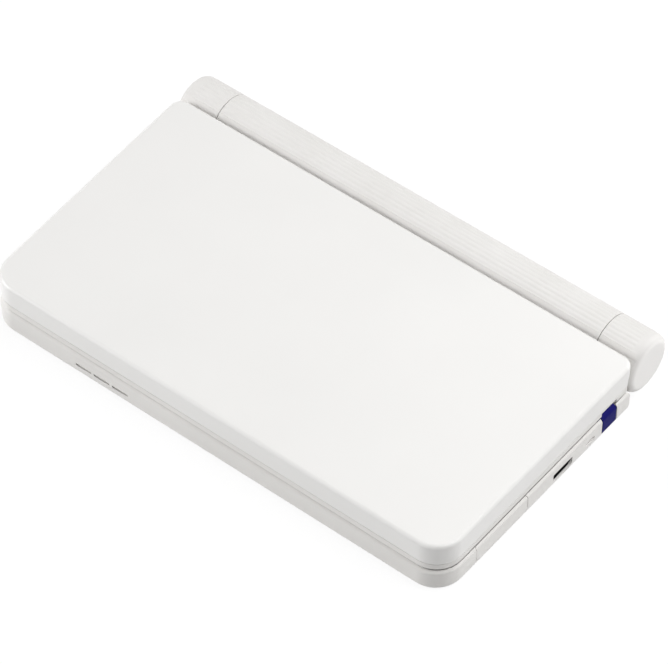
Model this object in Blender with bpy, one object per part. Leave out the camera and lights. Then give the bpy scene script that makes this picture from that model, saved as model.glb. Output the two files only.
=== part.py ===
"""Closed pocket electronic dictionary: a clamshell with a fluted battery barrel as its hinge.

Run with: blender --background --python part.py
Metres, +Z up, +X along the long side, +Y towards the barrel. The origin is the
middle of the footprint, on the plane that the rubber feet stand on.
The lid turns about the barrel's axis, keys travel down, the stylus slides out to +X.
"""

import math

import bmesh
import bpy
from mathutils import Matrix, Vector

MM = 0.001

# Base case
CASE_WIDTH = 148.0 * MM
SIDE_FLARE = 1.5 * MM
CASE_HEIGHT = 7.5 * MM
CASE_WALL = 2.0 * MM
CASE_FLOOR = 1.2 * MM
CASE_BOTTOM_ROUND = 2.0 * MM
CASE_RIM_CHAMFER = 1.2 * MM
FRONT_CORNER = 8.0 * MM
REAR_CORNER = 2.2 * MM
LID_REAR_CORNER = 3.5 * MM
INNER_CORNER = 1.5 * MM
CASE_LIP = 0.75 * MM
CASE_LIP_HEIGHT = 1.0 * MM
CASE_REAR_SETBACK = 0.5 * MM
BOSS_RADIUS = 2.2 * MM
BOSS_INSET = 5.0 * MM
BOSS_REAR_INSET = 1.2 * MM

# Feet
FOOT_STANDOFF = 0.5 * MM
FOOT_SIDE_MARGIN = 26.0 * MM
FOOT_WIDTH = 5.0 * MM
FOOT_THICKNESS = 0.7 * MM
FOOT_EDGE_INSET = 9.0 * MM
FOOT_EDGE_ROUND = 0.3 * MM

# Lid
LID_INSET = 0.4 * MM
LID_DEPTH = 78.0 * MM
LID_HEIGHT = 9.0 * MM
LID_GAP = 0.5 * MM
LID_WALL = 1.9 * MM
LID_TOP = 1.6 * MM
LID_TOP_ROUND = 1.1 * MM
LID_SEAM = 0.3 * MM
LID_RIB = 1.2 * MM
FRAME_HEIGHT = 1.95 * MM
FRAME_LEDGE = 0.8 * MM
FRAME_EDGE_ROUND = 0.35 * MM
BUMPER_RADIUS = 1.6 * MM
BUMPER_HEIGHT = 0.2 * MM
BUMPER_INSET = 5.0 * MM
NOTCH_HEIGHT = 1.4 * MM
NOTCH_DEPTH = 1.4 * MM

# Display
SCREEN_SIDE_MARGIN = 17.0 * MM
SCREEN_FRONT_MARGIN = 6.5 * MM
SCREEN_REAR_MARGIN = 9.5 * MM
SCREEN_CORNER = 1.0 * MM
TOUCH_LAP = 2.0 * MM
TOUCH_THICKNESS = 0.75 * MM
DISPLAY_LAP = 3.0 * MM
DISPLAY_THICKNESS = 2.6 * MM
DISPLAY_BACK_INSET = 5.0 * MM
DISPLAY_BACK_THICKNESS = 0.8 * MM

# Barrel and hinge
BARREL_WALL = 0.8 * MM
BARREL_DROP = 7.35 * MM
BARREL_BEHIND_LID = 5.95 * MM
BARREL_END_INSET = 0.1 * MM
KNUCKLE_LENGTH = 12.4 * MM
BARREL_SEAM = 0.3 * MM
BARREL_END_ROUND = 2.1 * MM
BARREL_PLAIN_END = 3.0 * MM
RIB_PITCH = 1.3 * MM
RIB_DEPTH = 0.12 * MM
CHANNEL_DEPTH = 0.35 * MM
HINGE_GAP = 0.7 * MM
SADDLE_GAP = 0.45 * MM
SHELF_REACH = 13.6 * MM
SHELF_THICKNESS = 1.7 * MM
SHELF_END_INSET = 1.7 * MM
NECK_END_INSET = 2.0 * MM
NECK_SEAM_INSET = 0.8 * MM
NECK_REACH = 16.0 * MM
NECK_TOP_DROP = 1.9 * MM
NECK_ROOT = 2.0 * MM
SHAFT_RADIUS = 2.5 * MM
SHAFT_GRIP = 4.6 * MM
FRICTION_RADIUS = 4.5 * MM
FRICTION_LENGTH = 8.4 * MM

# Batteries
CELL_RADIUS = 7.25 * MM
CELL_NUB_RADIUS = 2.75 * MM
CELL_NUB_LENGTH = 1.3 * MM
CELL_EDGE_ROUND = 0.6 * MM
BAY_END_WALL = 6.5 * MM
SPRING_LENGTH = 6.5 * MM
SPRING_WIRE_RADIUS = 0.35 * MM
SPRING_TIP_RADIUS = 2.4 * MM
SPRING_BASE_RADIUS = 4.6 * MM
CONTACT_THICKNESS = 0.4 * MM
CONTACT_RADIUS = 5.0 * MM
GRIP_WIDTH = 12.0 * MM
GRIP_HEIGHT = 0.35 * MM
GRIP_THICKNESS = 0.8 * MM
GRIP_ROOT = 0.4 * MM

# Keyboard
DECK_DROP = 0.2 * MM
DECK_THICKNESS = 1.6 * MM
WELL_SIDE_MARGIN = 9.0 * MM
WELL_FRONT_MARGIN = 8.5 * MM
WELL_REAR_MARGIN = 20.5 * MM
WELL_SINK = 0.8 * MM
WELL_CORNER = 4.0 * MM
KEYS_SIDE_MARGIN = 2.0 * MM
KEYS_FRONT_MARGIN = 1.7 * MM
KEY_SPACE_X = 2.2 * MM
KEY_SPACE_Y = 4.4 * MM
KEY_STAND = 0.7 * MM
KEY_CROWN = 0.3 * MM
PAD_SPACE_Y = 1.4 * MM
KEY_FLANGE = 0.6 * MM
KEY_FLANGE_LIP = 0.5 * MM
KEY_TRAVEL = 0.5 * MM
MAT_INSET = 0.6 * MM
MAT_THICKNESS = 0.6 * MM

# Board and what it carries
BOARD_THICKNESS = 0.8 * MM
BOARD_SIDE_INSET = 3.6 * MM
BOARD_FRONT_INSET = 10.0 * MM
BOARD_REAR_GAP = 2.2 * MM
USB_WIDTH = 7.5 * MM
USB_HEIGHT = 2.7 * MM
USB_LENGTH = 5.4 * MM
USB_WALL = 0.3 * MM
USB_BACK = 0.8 * MM
USB_CORNER = 0.8 * MM
USB_TONGUE_WIDTH = 3.7 * MM
USB_TONGUE_THICKNESS = 0.65 * MM
USB_TONGUE_SETBACK = 0.9 * MM
USB_SETBACK = 0.5 * MM
USB_FROM_REAR = 29.9 * MM
USB_DROP = 4.1 * MM
CARD_WIDTH = 14.6 * MM
CARD_LENGTH = 15.0 * MM
CARD_HEIGHT = 1.4 * MM
CARD_LIFT = 1.0 * MM
CARD_SLOT_WIDTH = 11.4 * MM
CARD_SLOT_HEIGHT = 0.8 * MM
CARD_SLOT_DEPTH = 13.0 * MM
CARD_TOWARDS_FRONT = 2.675 * MM
CARD_COVER_LENGTH = 20.0 * MM
CARD_COVER_THICKNESS = 1.2 * MM
CARD_COVER_CORNER = 1.0 * MM
SPEAKER_WIDTH = 17.0 * MM
SPEAKER_DEPTH = 6.0 * MM
SPEAKER_HEIGHT = 3.2 * MM
SPEAKER_FROM_SIDE = 39.4 * MM
SLOT_LENGTH = 5.2 * MM
SLOT_HEIGHT = 0.55 * MM
SLOT_PITCH = 6.0 * MM
SLOT_DROP = 3.8 * MM
JACK_RADIUS = 1.8 * MM
JACK_BODY_WIDTH = 6.0 * MM
JACK_BODY_LENGTH = 12.0 * MM
JACK_BODY_HEIGHT = 3.8 * MM
JACK_DEPTH = 9.0 * MM
JACK_FROM_REAR = 13.0 * MM
EYELET_LENGTH = 3.5 * MM
EYELET_HEIGHT = 1.2 * MM
EYELET_FROM_REAR = 18.5 * MM
EYELET_DROP = 3.8 * MM

# Stylus
STYLUS_FROM_REAR = 10.6 * MM
STYLUS_LENGTH = 92.0 * MM
STYLUS_WIDTH = 4.4 * MM
STYLUS_THICKNESS = 3.0 * MM
STYLUS_CORNER = 1.2 * MM
STYLUS_TIP_LENGTH = 7.0 * MM
STYLUS_TIP_WIDTH = 1.2 * MM
STYLUS_HEAD_WIDTH = 5.6 * MM
STYLUS_HEAD_HEIGHT = 5.9 * MM
STYLUS_HEAD_THICKNESS = 1.8 * MM
STYLUS_HEAD_ROOT = 0.6 * MM
SILO_WALL = 1.0 * MM

# Clearance between separate pieces, and how far a cutter runs past what it cuts
GAP = 0.3 * MM
OVERRUN = 1.0 * MM

# Counts, angles and shares
CORNER_STEPS = 7
REAR_STEPS = 4
KEY_STEPS = 3
ROUND_STEPS = 3
TURN_STEPS = 32
CLEARANCE_STEPS = 72
SPRING_TURNS = 4
SPRING_POINTS_A_TURN = 10
GRIP_RIDGES = 3
GRIP_RIDGE_STEP_DEG = 12.0
ARC_STEP_DEG = 22.0
CHANNEL_FROM_DEG = 119.5
OPENING_FROM_DEG = 212.0
OPENING_TO_DEG = 388.0
COVER_EDGE_DEG = 2.6
COVER_PULL_DEG = 300.0
RIM_PROFILE_SHARE = 0.35
FOOT_END_SHARE = 0.48
KEY_CORNER_SHARE = 0.34
PAD_CORNER_SHARE = 0.46
WIDE_KEY_SHARE = 1.5
PAD_WIDTH_SHARE = 1.9
PAD_PLACE_SHARE = 0.25
LID_RIB_SHARES = (-0.3, 0.3)
LETTER_ROWS = ("qwertyuiop", "asdfghjkl", "zxcvbnm")
LID_PIECES = (
    "lid_cover", "lid_frame", "touch_panel", "display_module",
    "hinge_knuckle_left", "hinge_knuckle_right", "hinge_shaft_left", "hinge_shaft_right",
)

# Levels and places that follow from the sizes above
CASE_BOTTOM = FOOT_STANDOFF
CASE_TOP = CASE_BOTTOM + CASE_HEIGHT
LID_BOTTOM = CASE_TOP + LID_GAP
LID_LEVEL = LID_BOTTOM + LID_HEIGHT
BARREL_RADIUS = CELL_RADIUS + GAP + BARREL_WALL
OVERALL_DEPTH = LID_INSET + LID_DEPTH + BARREL_BEHIND_LID + BARREL_RADIUS
CASE_FRONT = -OVERALL_DEPTH / 2
LID_FRONT = CASE_FRONT + LID_INSET
LID_REAR = LID_FRONT + LID_DEPTH
CASE_REAR = LID_REAR - CASE_REAR_SETBACK
AXIS_Y = LID_REAR + BARREL_BEHIND_LID
AXIS_Z = LID_LEVEL - BARREL_DROP
AXIS = (AXIS_Y, AXIS_Z)
FLOOR_LEVEL = CASE_BOTTOM + CASE_FLOOR
DECK_LEVEL = CASE_TOP - DECK_DROP
DECK_UNDER = DECK_LEVEL - DECK_THICKNESS
WELL_LEVEL = DECK_LEVEL - WELL_SINK
WELL_WIDTH = CASE_WIDTH - 2 * WELL_SIDE_MARGIN
WELL_DEPTH = LID_DEPTH - WELL_FRONT_MARGIN - WELL_REAR_MARGIN
WELL_Y = CASE_FRONT + WELL_FRONT_MARGIN + WELL_DEPTH / 2
KEY_PITCH_X = (WELL_WIDTH - 2 * KEYS_SIDE_MARGIN) / len(LETTER_ROWS[0])
KEY_PITCH_Y = (WELL_DEPTH - 2 * KEYS_FRONT_MARGIN) / (len(LETTER_ROWS) + 1)
KEY_WIDTH = KEY_PITCH_X - KEY_SPACE_X
KEY_DEPTH = KEY_PITCH_Y - KEY_SPACE_Y
WIDE_KEY_WIDTH = KEY_PITCH_X * WIDE_KEY_SHARE - KEY_SPACE_X
PAD_WIDTH = KEY_PITCH_X * PAD_WIDTH_SHARE - KEY_SPACE_X
PAD_DEPTH = KEY_PITCH_Y - PAD_SPACE_Y
KEY_CORNER = KEY_DEPTH * KEY_CORNER_SHARE
PAD_CORNER = PAD_DEPTH * PAD_CORNER_SHARE
FLANGE_TOP = DECK_UNDER - GAP
FLANGE_BOTTOM = FLANGE_TOP - KEY_FLANGE
MAT_TOP = FLANGE_BOTTOM - KEY_TRAVEL - GAP
MAT_BOTTOM = MAT_TOP - MAT_THICKNESS
BOARD_TOP = MAT_BOTTOM - 3 * GAP
BOARD_BOTTOM = BOARD_TOP - BOARD_THICKNESS
FRAME_TOP = LID_BOTTOM + FRAME_HEIGHT
COVER_BOTTOM = FRAME_TOP + LID_SEAM
SCREEN_WIDTH = CASE_WIDTH - 2 * SCREEN_SIDE_MARGIN
SCREEN_DEPTH = LID_DEPTH - SCREEN_FRONT_MARGIN - SCREEN_REAR_MARGIN
SCREEN_Y = LID_FRONT + SCREEN_FRONT_MARGIN + SCREEN_DEPTH / 2
SHELF_FRONT = AXIS_Y - SHELF_REACH
RIBS = round(math.tau * BARREL_RADIUS / RIB_PITCH)
BARREL_END = CASE_WIDTH / 2 - BARREL_END_INSET
KNUCKLE_START = BARREL_END - KNUCKLE_LENGTH
CENTRE_HALF = KNUCKLE_START - BARREL_SEAM
SHELF_HALF = CENTRE_HALF - SHELF_END_INSET
BAY_HALF = CENTRE_HALF - BAY_END_WALL
STYLUS_Y = LID_REAR - STYLUS_FROM_REAR
STYLUS_Z = FLOOR_LEVEL + GAP + STYLUS_THICKNESS / 2
USB_Y = LID_REAR - USB_FROM_REAR
USB_Z = CASE_TOP - USB_DROP
CARD_Y = (LID_FRONT + FRONT_CORNER + USB_Y - USB_WIDTH / 2) / 2 - CARD_TOWARDS_FRONT
CARD_BOTTOM = FLOOR_LEVEL + CARD_LIFT
SPEAKER_X = SPEAKER_FROM_SIDE - CASE_WIDTH / 2
FOOT_LENGTH = CASE_WIDTH - 2 * FOOT_SIDE_MARGIN
JACK_Y = CASE_REAR - JACK_FROM_REAR
JACK_Z = FLOOR_LEVEL + GAP + JACK_BODY_HEIGHT / 2
CARD_COVER_FOOT = CASE_BOTTOM + CASE_BOTTOM_ROUND


def clear_scene():
    for obj in list(bpy.data.objects):
        bpy.data.objects.remove(obj, do_unlink=True)


def make_collection(name, helpers=False):
    collection = bpy.data.collections.new(name)
    bpy.context.scene.collection.children.link(collection)
    collection.hide_render = helpers
    return collection


def make_material(name, colour, roughness, metallic=0.0):
    material = bpy.data.materials.new(name)
    material.use_nodes = True
    shader = material.node_tree.nodes["Principled BSDF"]
    shader.inputs["Base Color"].default_value = (*colour, 1.0)
    shader.inputs["Roughness"].default_value = roughness
    shader.inputs["Metallic"].default_value = metallic
    material.diffuse_color = (*colour, 1.0)
    return material


clear_scene()
PARTS = make_collection("electronic_dictionary")
CUTTERS = make_collection("cutters", helpers=True)

WHITE_CASE = make_material("white_case_plastic", (0.80, 0.79, 0.77), 0.45)
WHITE_LID = make_material("white_lid_paint", (0.86, 0.85, 0.83), 0.28)
WHITE_BARREL = make_material("white_barrel_plastic", (0.76, 0.75, 0.73), 0.50)
DECK_PLASTIC = make_material("deck_plastic", (0.70, 0.70, 0.70), 0.50)
KEY_PLASTIC = make_material("key_plastic", (0.78, 0.78, 0.77), 0.40)
STYLUS_PLASTIC = make_material("stylus_plastic", (0.033, 0.030, 0.18), 0.35)
FOOT_RUBBER = make_material("foot_rubber", (0.20, 0.20, 0.20), 0.85)
MAT_SILICONE = make_material("mat_silicone", (0.35, 0.35, 0.36), 0.70)
STEEL = make_material("plain_steel", (0.55, 0.55, 0.56), 0.30, 1.0)
TOUCH_GLASS = make_material("touch_glass", (0.03, 0.035, 0.04), 0.08)
BOARD_LAMINATE = make_material("board_laminate", (0.02, 0.16, 0.07), 0.50)
BLACK_PLASTIC = make_material("black_plastic", (0.03, 0.03, 0.03), 0.50)
CELL_SLEEVE = make_material("cell_sleeve", (0.25, 0.26, 0.28), 0.30, 0.4)


# Outlines


def rounded_outline(corners, radii, steps):
    """Points of a closed outline whose corners are rounded by arcs of the given radii."""
    points = []
    count = len(corners)
    for index, corner in enumerate(corners):
        here = Vector(corner)
        before = (Vector(corners[index - 1]) - here).normalized()
        after = (Vector(corners[(index + 1) % count]) - here).normalized()
        half_angle = before.angle(after) / 2
        centre = here + (before + after).normalized() * (radii[index] / math.sin(half_angle))
        reach = radii[index] / math.tan(half_angle)
        start = here + before * reach - centre
        turn = math.pi - 2 * half_angle
        for step in range(steps[index] + 1):
            arm = Matrix.Rotation(turn * step / steps[index], 2) @ start
            points.append(tuple(centre + arm))
    return points


def rectangle(width, depth, radius, centre, steps=KEY_STEPS):
    x, y = centre
    corners = [
        (x - width / 2, y - depth / 2),
        (x + width / 2, y - depth / 2),
        (x + width / 2, y + depth / 2),
        (x - width / 2, y + depth / 2),
    ]
    return rounded_outline(corners, [radius] * 4, [steps] * 4)


def half_width(y):
    """Half the case's width at y: its sides run apart towards the barrel."""
    return CASE_WIDTH / 2 - SIDE_FLARE * (CASE_REAR - y) / (CASE_REAR - CASE_FRONT)


def case_outline(inset, front, rear, rear_corner=REAR_CORNER):
    """The case's plan, drawn in by inset at its sides, between the given front and rear."""
    front_half = half_width(front) - inset
    rear_half = half_width(rear) - inset
    corners = [
        (-front_half, front),
        (front_half, front),
        (rear_half, rear),
        (-rear_half, rear),
    ]
    front_corner = FRONT_CORNER - inset
    radii = [front_corner, front_corner, rear_corner, rear_corner]
    steps = [CORNER_STEPS, CORNER_STEPS, REAR_STEPS, REAR_STEPS]
    return rounded_outline(corners, radii, steps)


def polar(radius, degrees):
    """A point about the barrel's axis as (y, z): 0 degrees points to the rear, 90 up."""
    angle = math.radians(degrees)
    return AXIS_Y + radius * math.cos(angle), AXIS_Z + radius * math.sin(angle)


def arc(radius, start, end, step_deg):
    """Points along a circle about the barrel's axis, as (y, z)."""
    steps = math.ceil(abs(end - start) / step_deg)
    return [polar(radius, start + (end - start) * step / steps) for step in range(steps + 1)]


def fluted_outline(channel):
    """The barrel's ribbed section, with the smooth channel that faces the lid if it is asked for."""
    half_step = 180 / RIBS
    points = []
    for index in range(2 * RIBS):
        degrees = OPENING_FROM_DEG + index * half_step
        height = BARREL_RADIUS - RIB_DEPTH * (index % 2)
        if channel and degrees > CHANNEL_FROM_DEG + 360 - half_step:
            continue
        points.append(polar(height, degrees))
    if channel:
        points.append(polar(BARREL_RADIUS, CHANNEL_FROM_DEG))
        floor = BARREL_RADIUS - CHANNEL_DEPTH
        points.extend(arc(floor, CHANNEL_FROM_DEG, OPENING_FROM_DEG, 2 * half_step))
    return points


def channel_outline(floor):
    """The channel's own section, from its floor out past the barrel's surface."""
    step = 360 / RIBS
    outside = BARREL_RADIUS + OVERRUN
    points = arc(outside, OPENING_FROM_DEG, CHANNEL_FROM_DEG, step)
    points.extend(arc(floor, CHANNEL_FROM_DEG, OPENING_FROM_DEG, step))
    return points


def sector_outline(radius, start, end):
    """A pie slice about the barrel's axis, as (y, z) points."""
    return [AXIS] + arc(radius, start, end, ARC_STEP_DEG)


def usb_outline(grow):
    """The receptacle's mouth, narrower at its lower corners, as (y, z) points."""
    half = USB_WIDTH / 2 + grow
    low = USB_Z - USB_HEIGHT / 2 - grow
    high = USB_Z + USB_HEIGHT / 2 + grow
    return [
        (USB_Y - half, high),
        (USB_Y - half, low + USB_CORNER),
        (USB_Y - half + USB_CORNER, low),
        (USB_Y + half - USB_CORNER, low),
        (USB_Y + half, low + USB_CORNER),
        (USB_Y + half, high),
    ]


# Solids


def add_object(name, mesh, material=None, collection=PARTS):
    obj = bpy.data.objects.new(name, mesh)
    collection.objects.link(obj)
    if material:
        mesh.materials.append(material)
    return obj


def mesh_of(name, bm):
    bmesh.ops.recalc_face_normals(bm, faces=bm.faces[:])
    mesh = bpy.data.meshes.new(name)
    bm.to_mesh(mesh)
    bm.free()
    return mesh


def part(name, bm, material):
    return add_object(name, mesh_of(name, bm), material)


def helper(name, bm):
    obj = add_object(name, mesh_of(name, bm), collection=CUTTERS)
    obj.hide_render = True
    obj.display_type = "WIRE"
    return obj


def baked_mesh(obj):
    """The object's mesh with its modifiers worked in."""
    graph = bpy.context.evaluated_depsgraph_get()
    return bpy.data.meshes.new_from_object(obj.evaluated_get(graph))


def plate(outline, low, high):
    """An upright slab: the outline as a filled flat curve, extruded from low to high."""
    curve = bpy.data.curves.new("outline", "CURVE")
    curve.dimensions = "2D"
    curve.fill_mode = "BOTH"
    curve.extrude = (high - low) / 2
    spline = curve.splines.new("POLY")
    spline.points.add(len(outline) - 1)
    for point, (x, y) in zip(spline.points, outline):
        point.co = (x, y, 0, 1)
    spline.use_cyclic_u = True
    holder = add_object("outline", curve, collection=CUTTERS)
    mesh = baked_mesh(holder)
    bpy.data.objects.remove(holder)
    bm = bmesh.new()
    bm.from_mesh(mesh)
    bmesh.ops.remove_doubles(bm, verts=bm.verts[:], dist=MERGE)
    bmesh.ops.dissolve_limit(bm, angle_limit=FLAT, verts=bm.verts[:], edges=bm.edges[:])
    bmesh.ops.translate(bm, verts=bm.verts[:], vec=(0, 0, (low + high) / 2))
    return bm


def beam(outline, low, high):
    """The same slab laid along X: outline points are (y, z)."""
    bm = plate(outline, low, high)
    bmesh.ops.transform(bm, matrix=UPRIGHT_TO_X, verts=bm.verts[:])
    return bm


def box(low, high):
    bm = bmesh.new()
    bmesh.ops.create_cube(bm, size=1)
    bmesh.ops.scale(bm, vec=[b - a for a, b in zip(low, high)], verts=bm.verts[:])
    bmesh.ops.translate(bm, vec=[(a + b) / 2 for a, b in zip(low, high)], verts=bm.verts[:])
    return bm


def cylinder(radius, low, high, centre, steps=TURN_STEPS):
    """An upright cylinder about centre, an (x, y) point."""
    bm = bmesh.new()
    bmesh.ops.create_cone(
        bm, cap_ends=True, segments=steps, radius1=radius, radius2=radius, depth=high - low
    )
    bmesh.ops.translate(bm, vec=(*centre, (low + high) / 2), verts=bm.verts[:])
    return bm


def rod(radius, low, high, centre, steps=TURN_STEPS):
    """A cylinder along X about centre, a (y, z) point."""
    bm = cylinder(radius, low, high, (0, 0), steps)
    bmesh.ops.transform(bm, matrix=UPRIGHT_TO_X, verts=bm.verts[:])
    bmesh.ops.translate(bm, vec=(0, *centre), verts=bm.verts[:])
    return bm


def turned(profile, steps=TURN_STEPS):
    """A body turned about the barrel's axis: profile holds (x, radius) pairs, its ends on the axis."""
    bm = bmesh.new()
    verts = [bm.verts.new((x, AXIS_Y, AXIS_Z + radius)) for x, radius in profile]
    edges = [bm.edges.new(pair) for pair in zip(verts, verts[1:])]
    bmesh.ops.spin(
        bm, geom=verts + edges, cent=(0, *AXIS), axis=(1, 0, 0), angle=math.tau, steps=steps, use_merge=True
    )
    bmesh.ops.remove_doubles(bm, verts=bm.verts[:], dist=MERGE)
    return bm


def round_rim(bm, level, radius, segments=ROUND_STEPS, profile=0.5):
    """Bevels the edges that lie in the level plane at this height."""
    rim = [e for e in bm.edges if all(abs(v.co.z - level) < MERGE for v in e.verts)]
    bmesh.ops.bevel(
        bm, geom=rim, offset=radius, offset_type="OFFSET", segments=segments,
        profile=profile, affect="EDGES", material=-1, clamp_overlap=True,
    )


def combined(pieces):
    """Several solids that don't meet as one mesh, for a cutter."""
    whole = bmesh.new()
    for index, piece in enumerate(pieces):
        mesh = mesh_of(f"piece_{index}", piece)
        whole.from_mesh(mesh)
        bpy.data.meshes.remove(mesh)
    return whole


def boolean(obj, name, bm, operation):
    modifier = obj.modifiers.new(name, "BOOLEAN")
    modifier.operation = operation
    modifier.solver = "EXACT"
    modifier.object = helper(f"{obj.name}_{name}", bm)


def cut(obj, name, bm):
    boolean(obj, name, bm, "DIFFERENCE")


def join(obj, name, bm):
    boolean(obj, name, bm, "UNION")


def keep(obj, name, bm):
    boolean(obj, name, bm, "INTERSECT")


def place_origin(obj, point):
    """Puts the object's origin at a point on its joint's axis and leaves its shape where it is."""
    obj.data.transform(Matrix.Translation(-Vector(point)))
    obj.location = point


MERGE = OVERRUN / 10000
FLAT = math.radians(0.5)
UPRIGHT_TO_X = Matrix(((0, 0, 1), (1, 0, 0), (0, 1, 0))).to_4x4()


# Forms that several pieces take their shape or place from


def case_body():
    """The outer form that the base case, the card cover and the stylus head are all cut from."""
    bm = plate(case_outline(0, CASE_FRONT, CASE_REAR), CASE_BOTTOM, CASE_TOP)
    round_rim(bm, CASE_BOTTOM, CASE_BOTTOM_ROUND)
    round_rim(bm, CASE_TOP, CASE_RIM_CHAMFER, segments=2, profile=RIM_PROFILE_SHARE)
    return bm


def barrel_clearance(gap):
    return rod(BARREL_RADIUS + gap, -CASE_WIDTH, CASE_WIDTH, AXIS, CLEARANCE_STEPS)


def saddle_face(level):
    """How far forward the case's hollow for the barrel reaches at this height."""
    return AXIS_Y - math.sqrt((BARREL_RADIUS + SADDLE_GAP) ** 2 - (level - AXIS_Z) ** 2)


def side_block(y_low, y_high, z_low, z_high, depth):
    """A block at the right-hand side that reaches in by depth from the flared side face."""
    outline = [
        (half_width(y_low) - depth, y_low),
        (half_width(y_low) + OVERRUN, y_low),
        (half_width(y_high) + OVERRUN, y_high),
        (half_width(y_high) - depth, y_high),
    ]
    return plate(outline, z_low, z_high)


def door_block(grow, depth):
    """The card cover's block, its corners rounded, grown by a gap where the case makes room for it."""
    block = side_block(CARD_LOW - grow, CARD_HIGH + grow, CARD_COVER_FOOT - grow, CASE_TOP + OVERRUN, depth)
    form = helper("door_form", block)
    height = CASE_TOP - CARD_COVER_FOOT + 2 * grow
    centre = (CARD_Y, (CASE_TOP + CARD_COVER_FOOT) / 2)
    outline = rectangle(CARD_COVER_LENGTH + 2 * grow, height, CARD_COVER_CORNER + grow, centre)
    keep(form, "corners", beam(outline, 0, CASE_WIDTH))
    bm = bmesh.new()
    bm.from_mesh(baked_mesh(form))
    return bm


CASE_INSIDE_REAR = saddle_face(CASE_TOP) - CASE_WALL
HEAD_HALF = STYLUS_HEAD_WIDTH / 2
HEAD_FOOT = CASE_TOP - STYLUS_HEAD_HEIGHT
SILO_LOW = STYLUS_Y - HEAD_HALF - GAP
SILO_HIGH = STYLUS_Y + HEAD_HALF + GAP
STYLUS_FACE = half_width(STYLUS_Y)
STYLUS_TIP = STYLUS_FACE - STYLUS_LENGTH
SILO_START = STYLUS_TIP - GAP - SILO_WALL
BOARD_REAR = SILO_LOW - SILO_WALL - BOARD_REAR_GAP
CARD_LOW = CARD_Y - CARD_COVER_LENGTH / 2
CARD_HIGH = CARD_Y + CARD_COVER_LENGTH / 2
CARD_FACE = half_width(CARD_LOW) - CASE_WALL - GAP
FOOT_PLACES = (("front", CASE_FRONT + FOOT_EDGE_INSET), ("rear", CASE_REAR - FOOT_EDGE_INSET))


# Base


def boss_places():
    front = CASE_FRONT + CASE_WALL + BOSS_INSET
    rear = CASE_INSIDE_REAR - BOSS_REAR_INSET
    front_x = half_width(front) - CASE_WALL - BOSS_INSET
    rear_x = half_width(rear) - CASE_WALL - BOSS_INSET
    return [(-front_x, front), (front_x, front), (-rear_x, rear), (rear_x, rear)]


def make_base_case():
    obj = part("base_case", case_body(), WHITE_CASE)
    inside = case_outline(CASE_WALL, CASE_FRONT + CASE_WALL, CASE_INSIDE_REAR, INNER_CORNER)
    cut(obj, "inside", plate(inside, FLOOR_LEVEL, CASE_TOP + OVERRUN))
    seat = case_outline(CASE_LIP, CASE_FRONT + CASE_LIP, CASE_INSIDE_REAR + GAP, INNER_CORNER)
    cut(obj, "deck_seat", plate(seat, CASE_TOP - CASE_LIP_HEIGHT, CASE_TOP + OVERRUN))
    bosses = [
        cylinder(BOSS_RADIUS, FLOOR_LEVEL - CASE_FLOOR / 2, DECK_UNDER - GAP, place, TURN_STEPS // 2)
        for place in boss_places()
    ]
    join(obj, "bosses", combined(bosses))
    add_silo(obj)
    cut(obj, "saddle", barrel_clearance(SADDLE_GAP))
    gate = box(
        (-SHELF_HALF - GAP, CASE_INSIDE_REAR - OVERRUN, DECK_LEVEL - SHELF_THICKNESS - GAP),
        (SHELF_HALF + GAP, CASE_REAR + OVERRUN, CASE_TOP + OVERRUN),
    )
    cut(obj, "shelf_gate", gate)
    recesses = []
    for _, y in FOOT_PLACES:
        width = FOOT_WIDTH + 2 * GAP
        outline = rectangle(FOOT_LENGTH + 2 * GAP, width, width * FOOT_END_SHARE, (0, y))
        recesses.append(plate(outline, CASE_BOTTOM - OVERRUN, FOOT_THICKNESS + GAP))
    cut(obj, "foot_recesses", combined(recesses))
    cut(obj, "side_openings", combined(side_openings()))
    cut(obj, "front_slots", combined(speaker_slots()))
    return obj


def add_silo(obj):
    """Two walls and a stop that guide the stylus, and the window its head closes."""
    foot = FLOOR_LEVEL - CASE_FLOOR / 2
    top = DECK_UNDER - GAP
    face = half_width(SILO_LOW) - CASE_WALL / 2
    walls = [
        box((SILO_START, SILO_LOW - SILO_WALL, foot), (face, SILO_LOW, top)),
        box((SILO_START, SILO_HIGH, foot), (face, SILO_HIGH + SILO_WALL, top)),
    ]
    join(obj, "silo_walls", combined(walls))
    overlap = SILO_WALL / 2
    stop = box((SILO_START, SILO_LOW - overlap, foot), (SILO_START + SILO_WALL, SILO_HIGH + overlap, top))
    join(obj, "silo_stop", stop)
    window = side_block(SILO_LOW, SILO_HIGH, HEAD_FOOT - GAP, CASE_TOP + OVERRUN, CASE_WALL + OVERRUN)
    cut(obj, "stylus_window", window)


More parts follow.
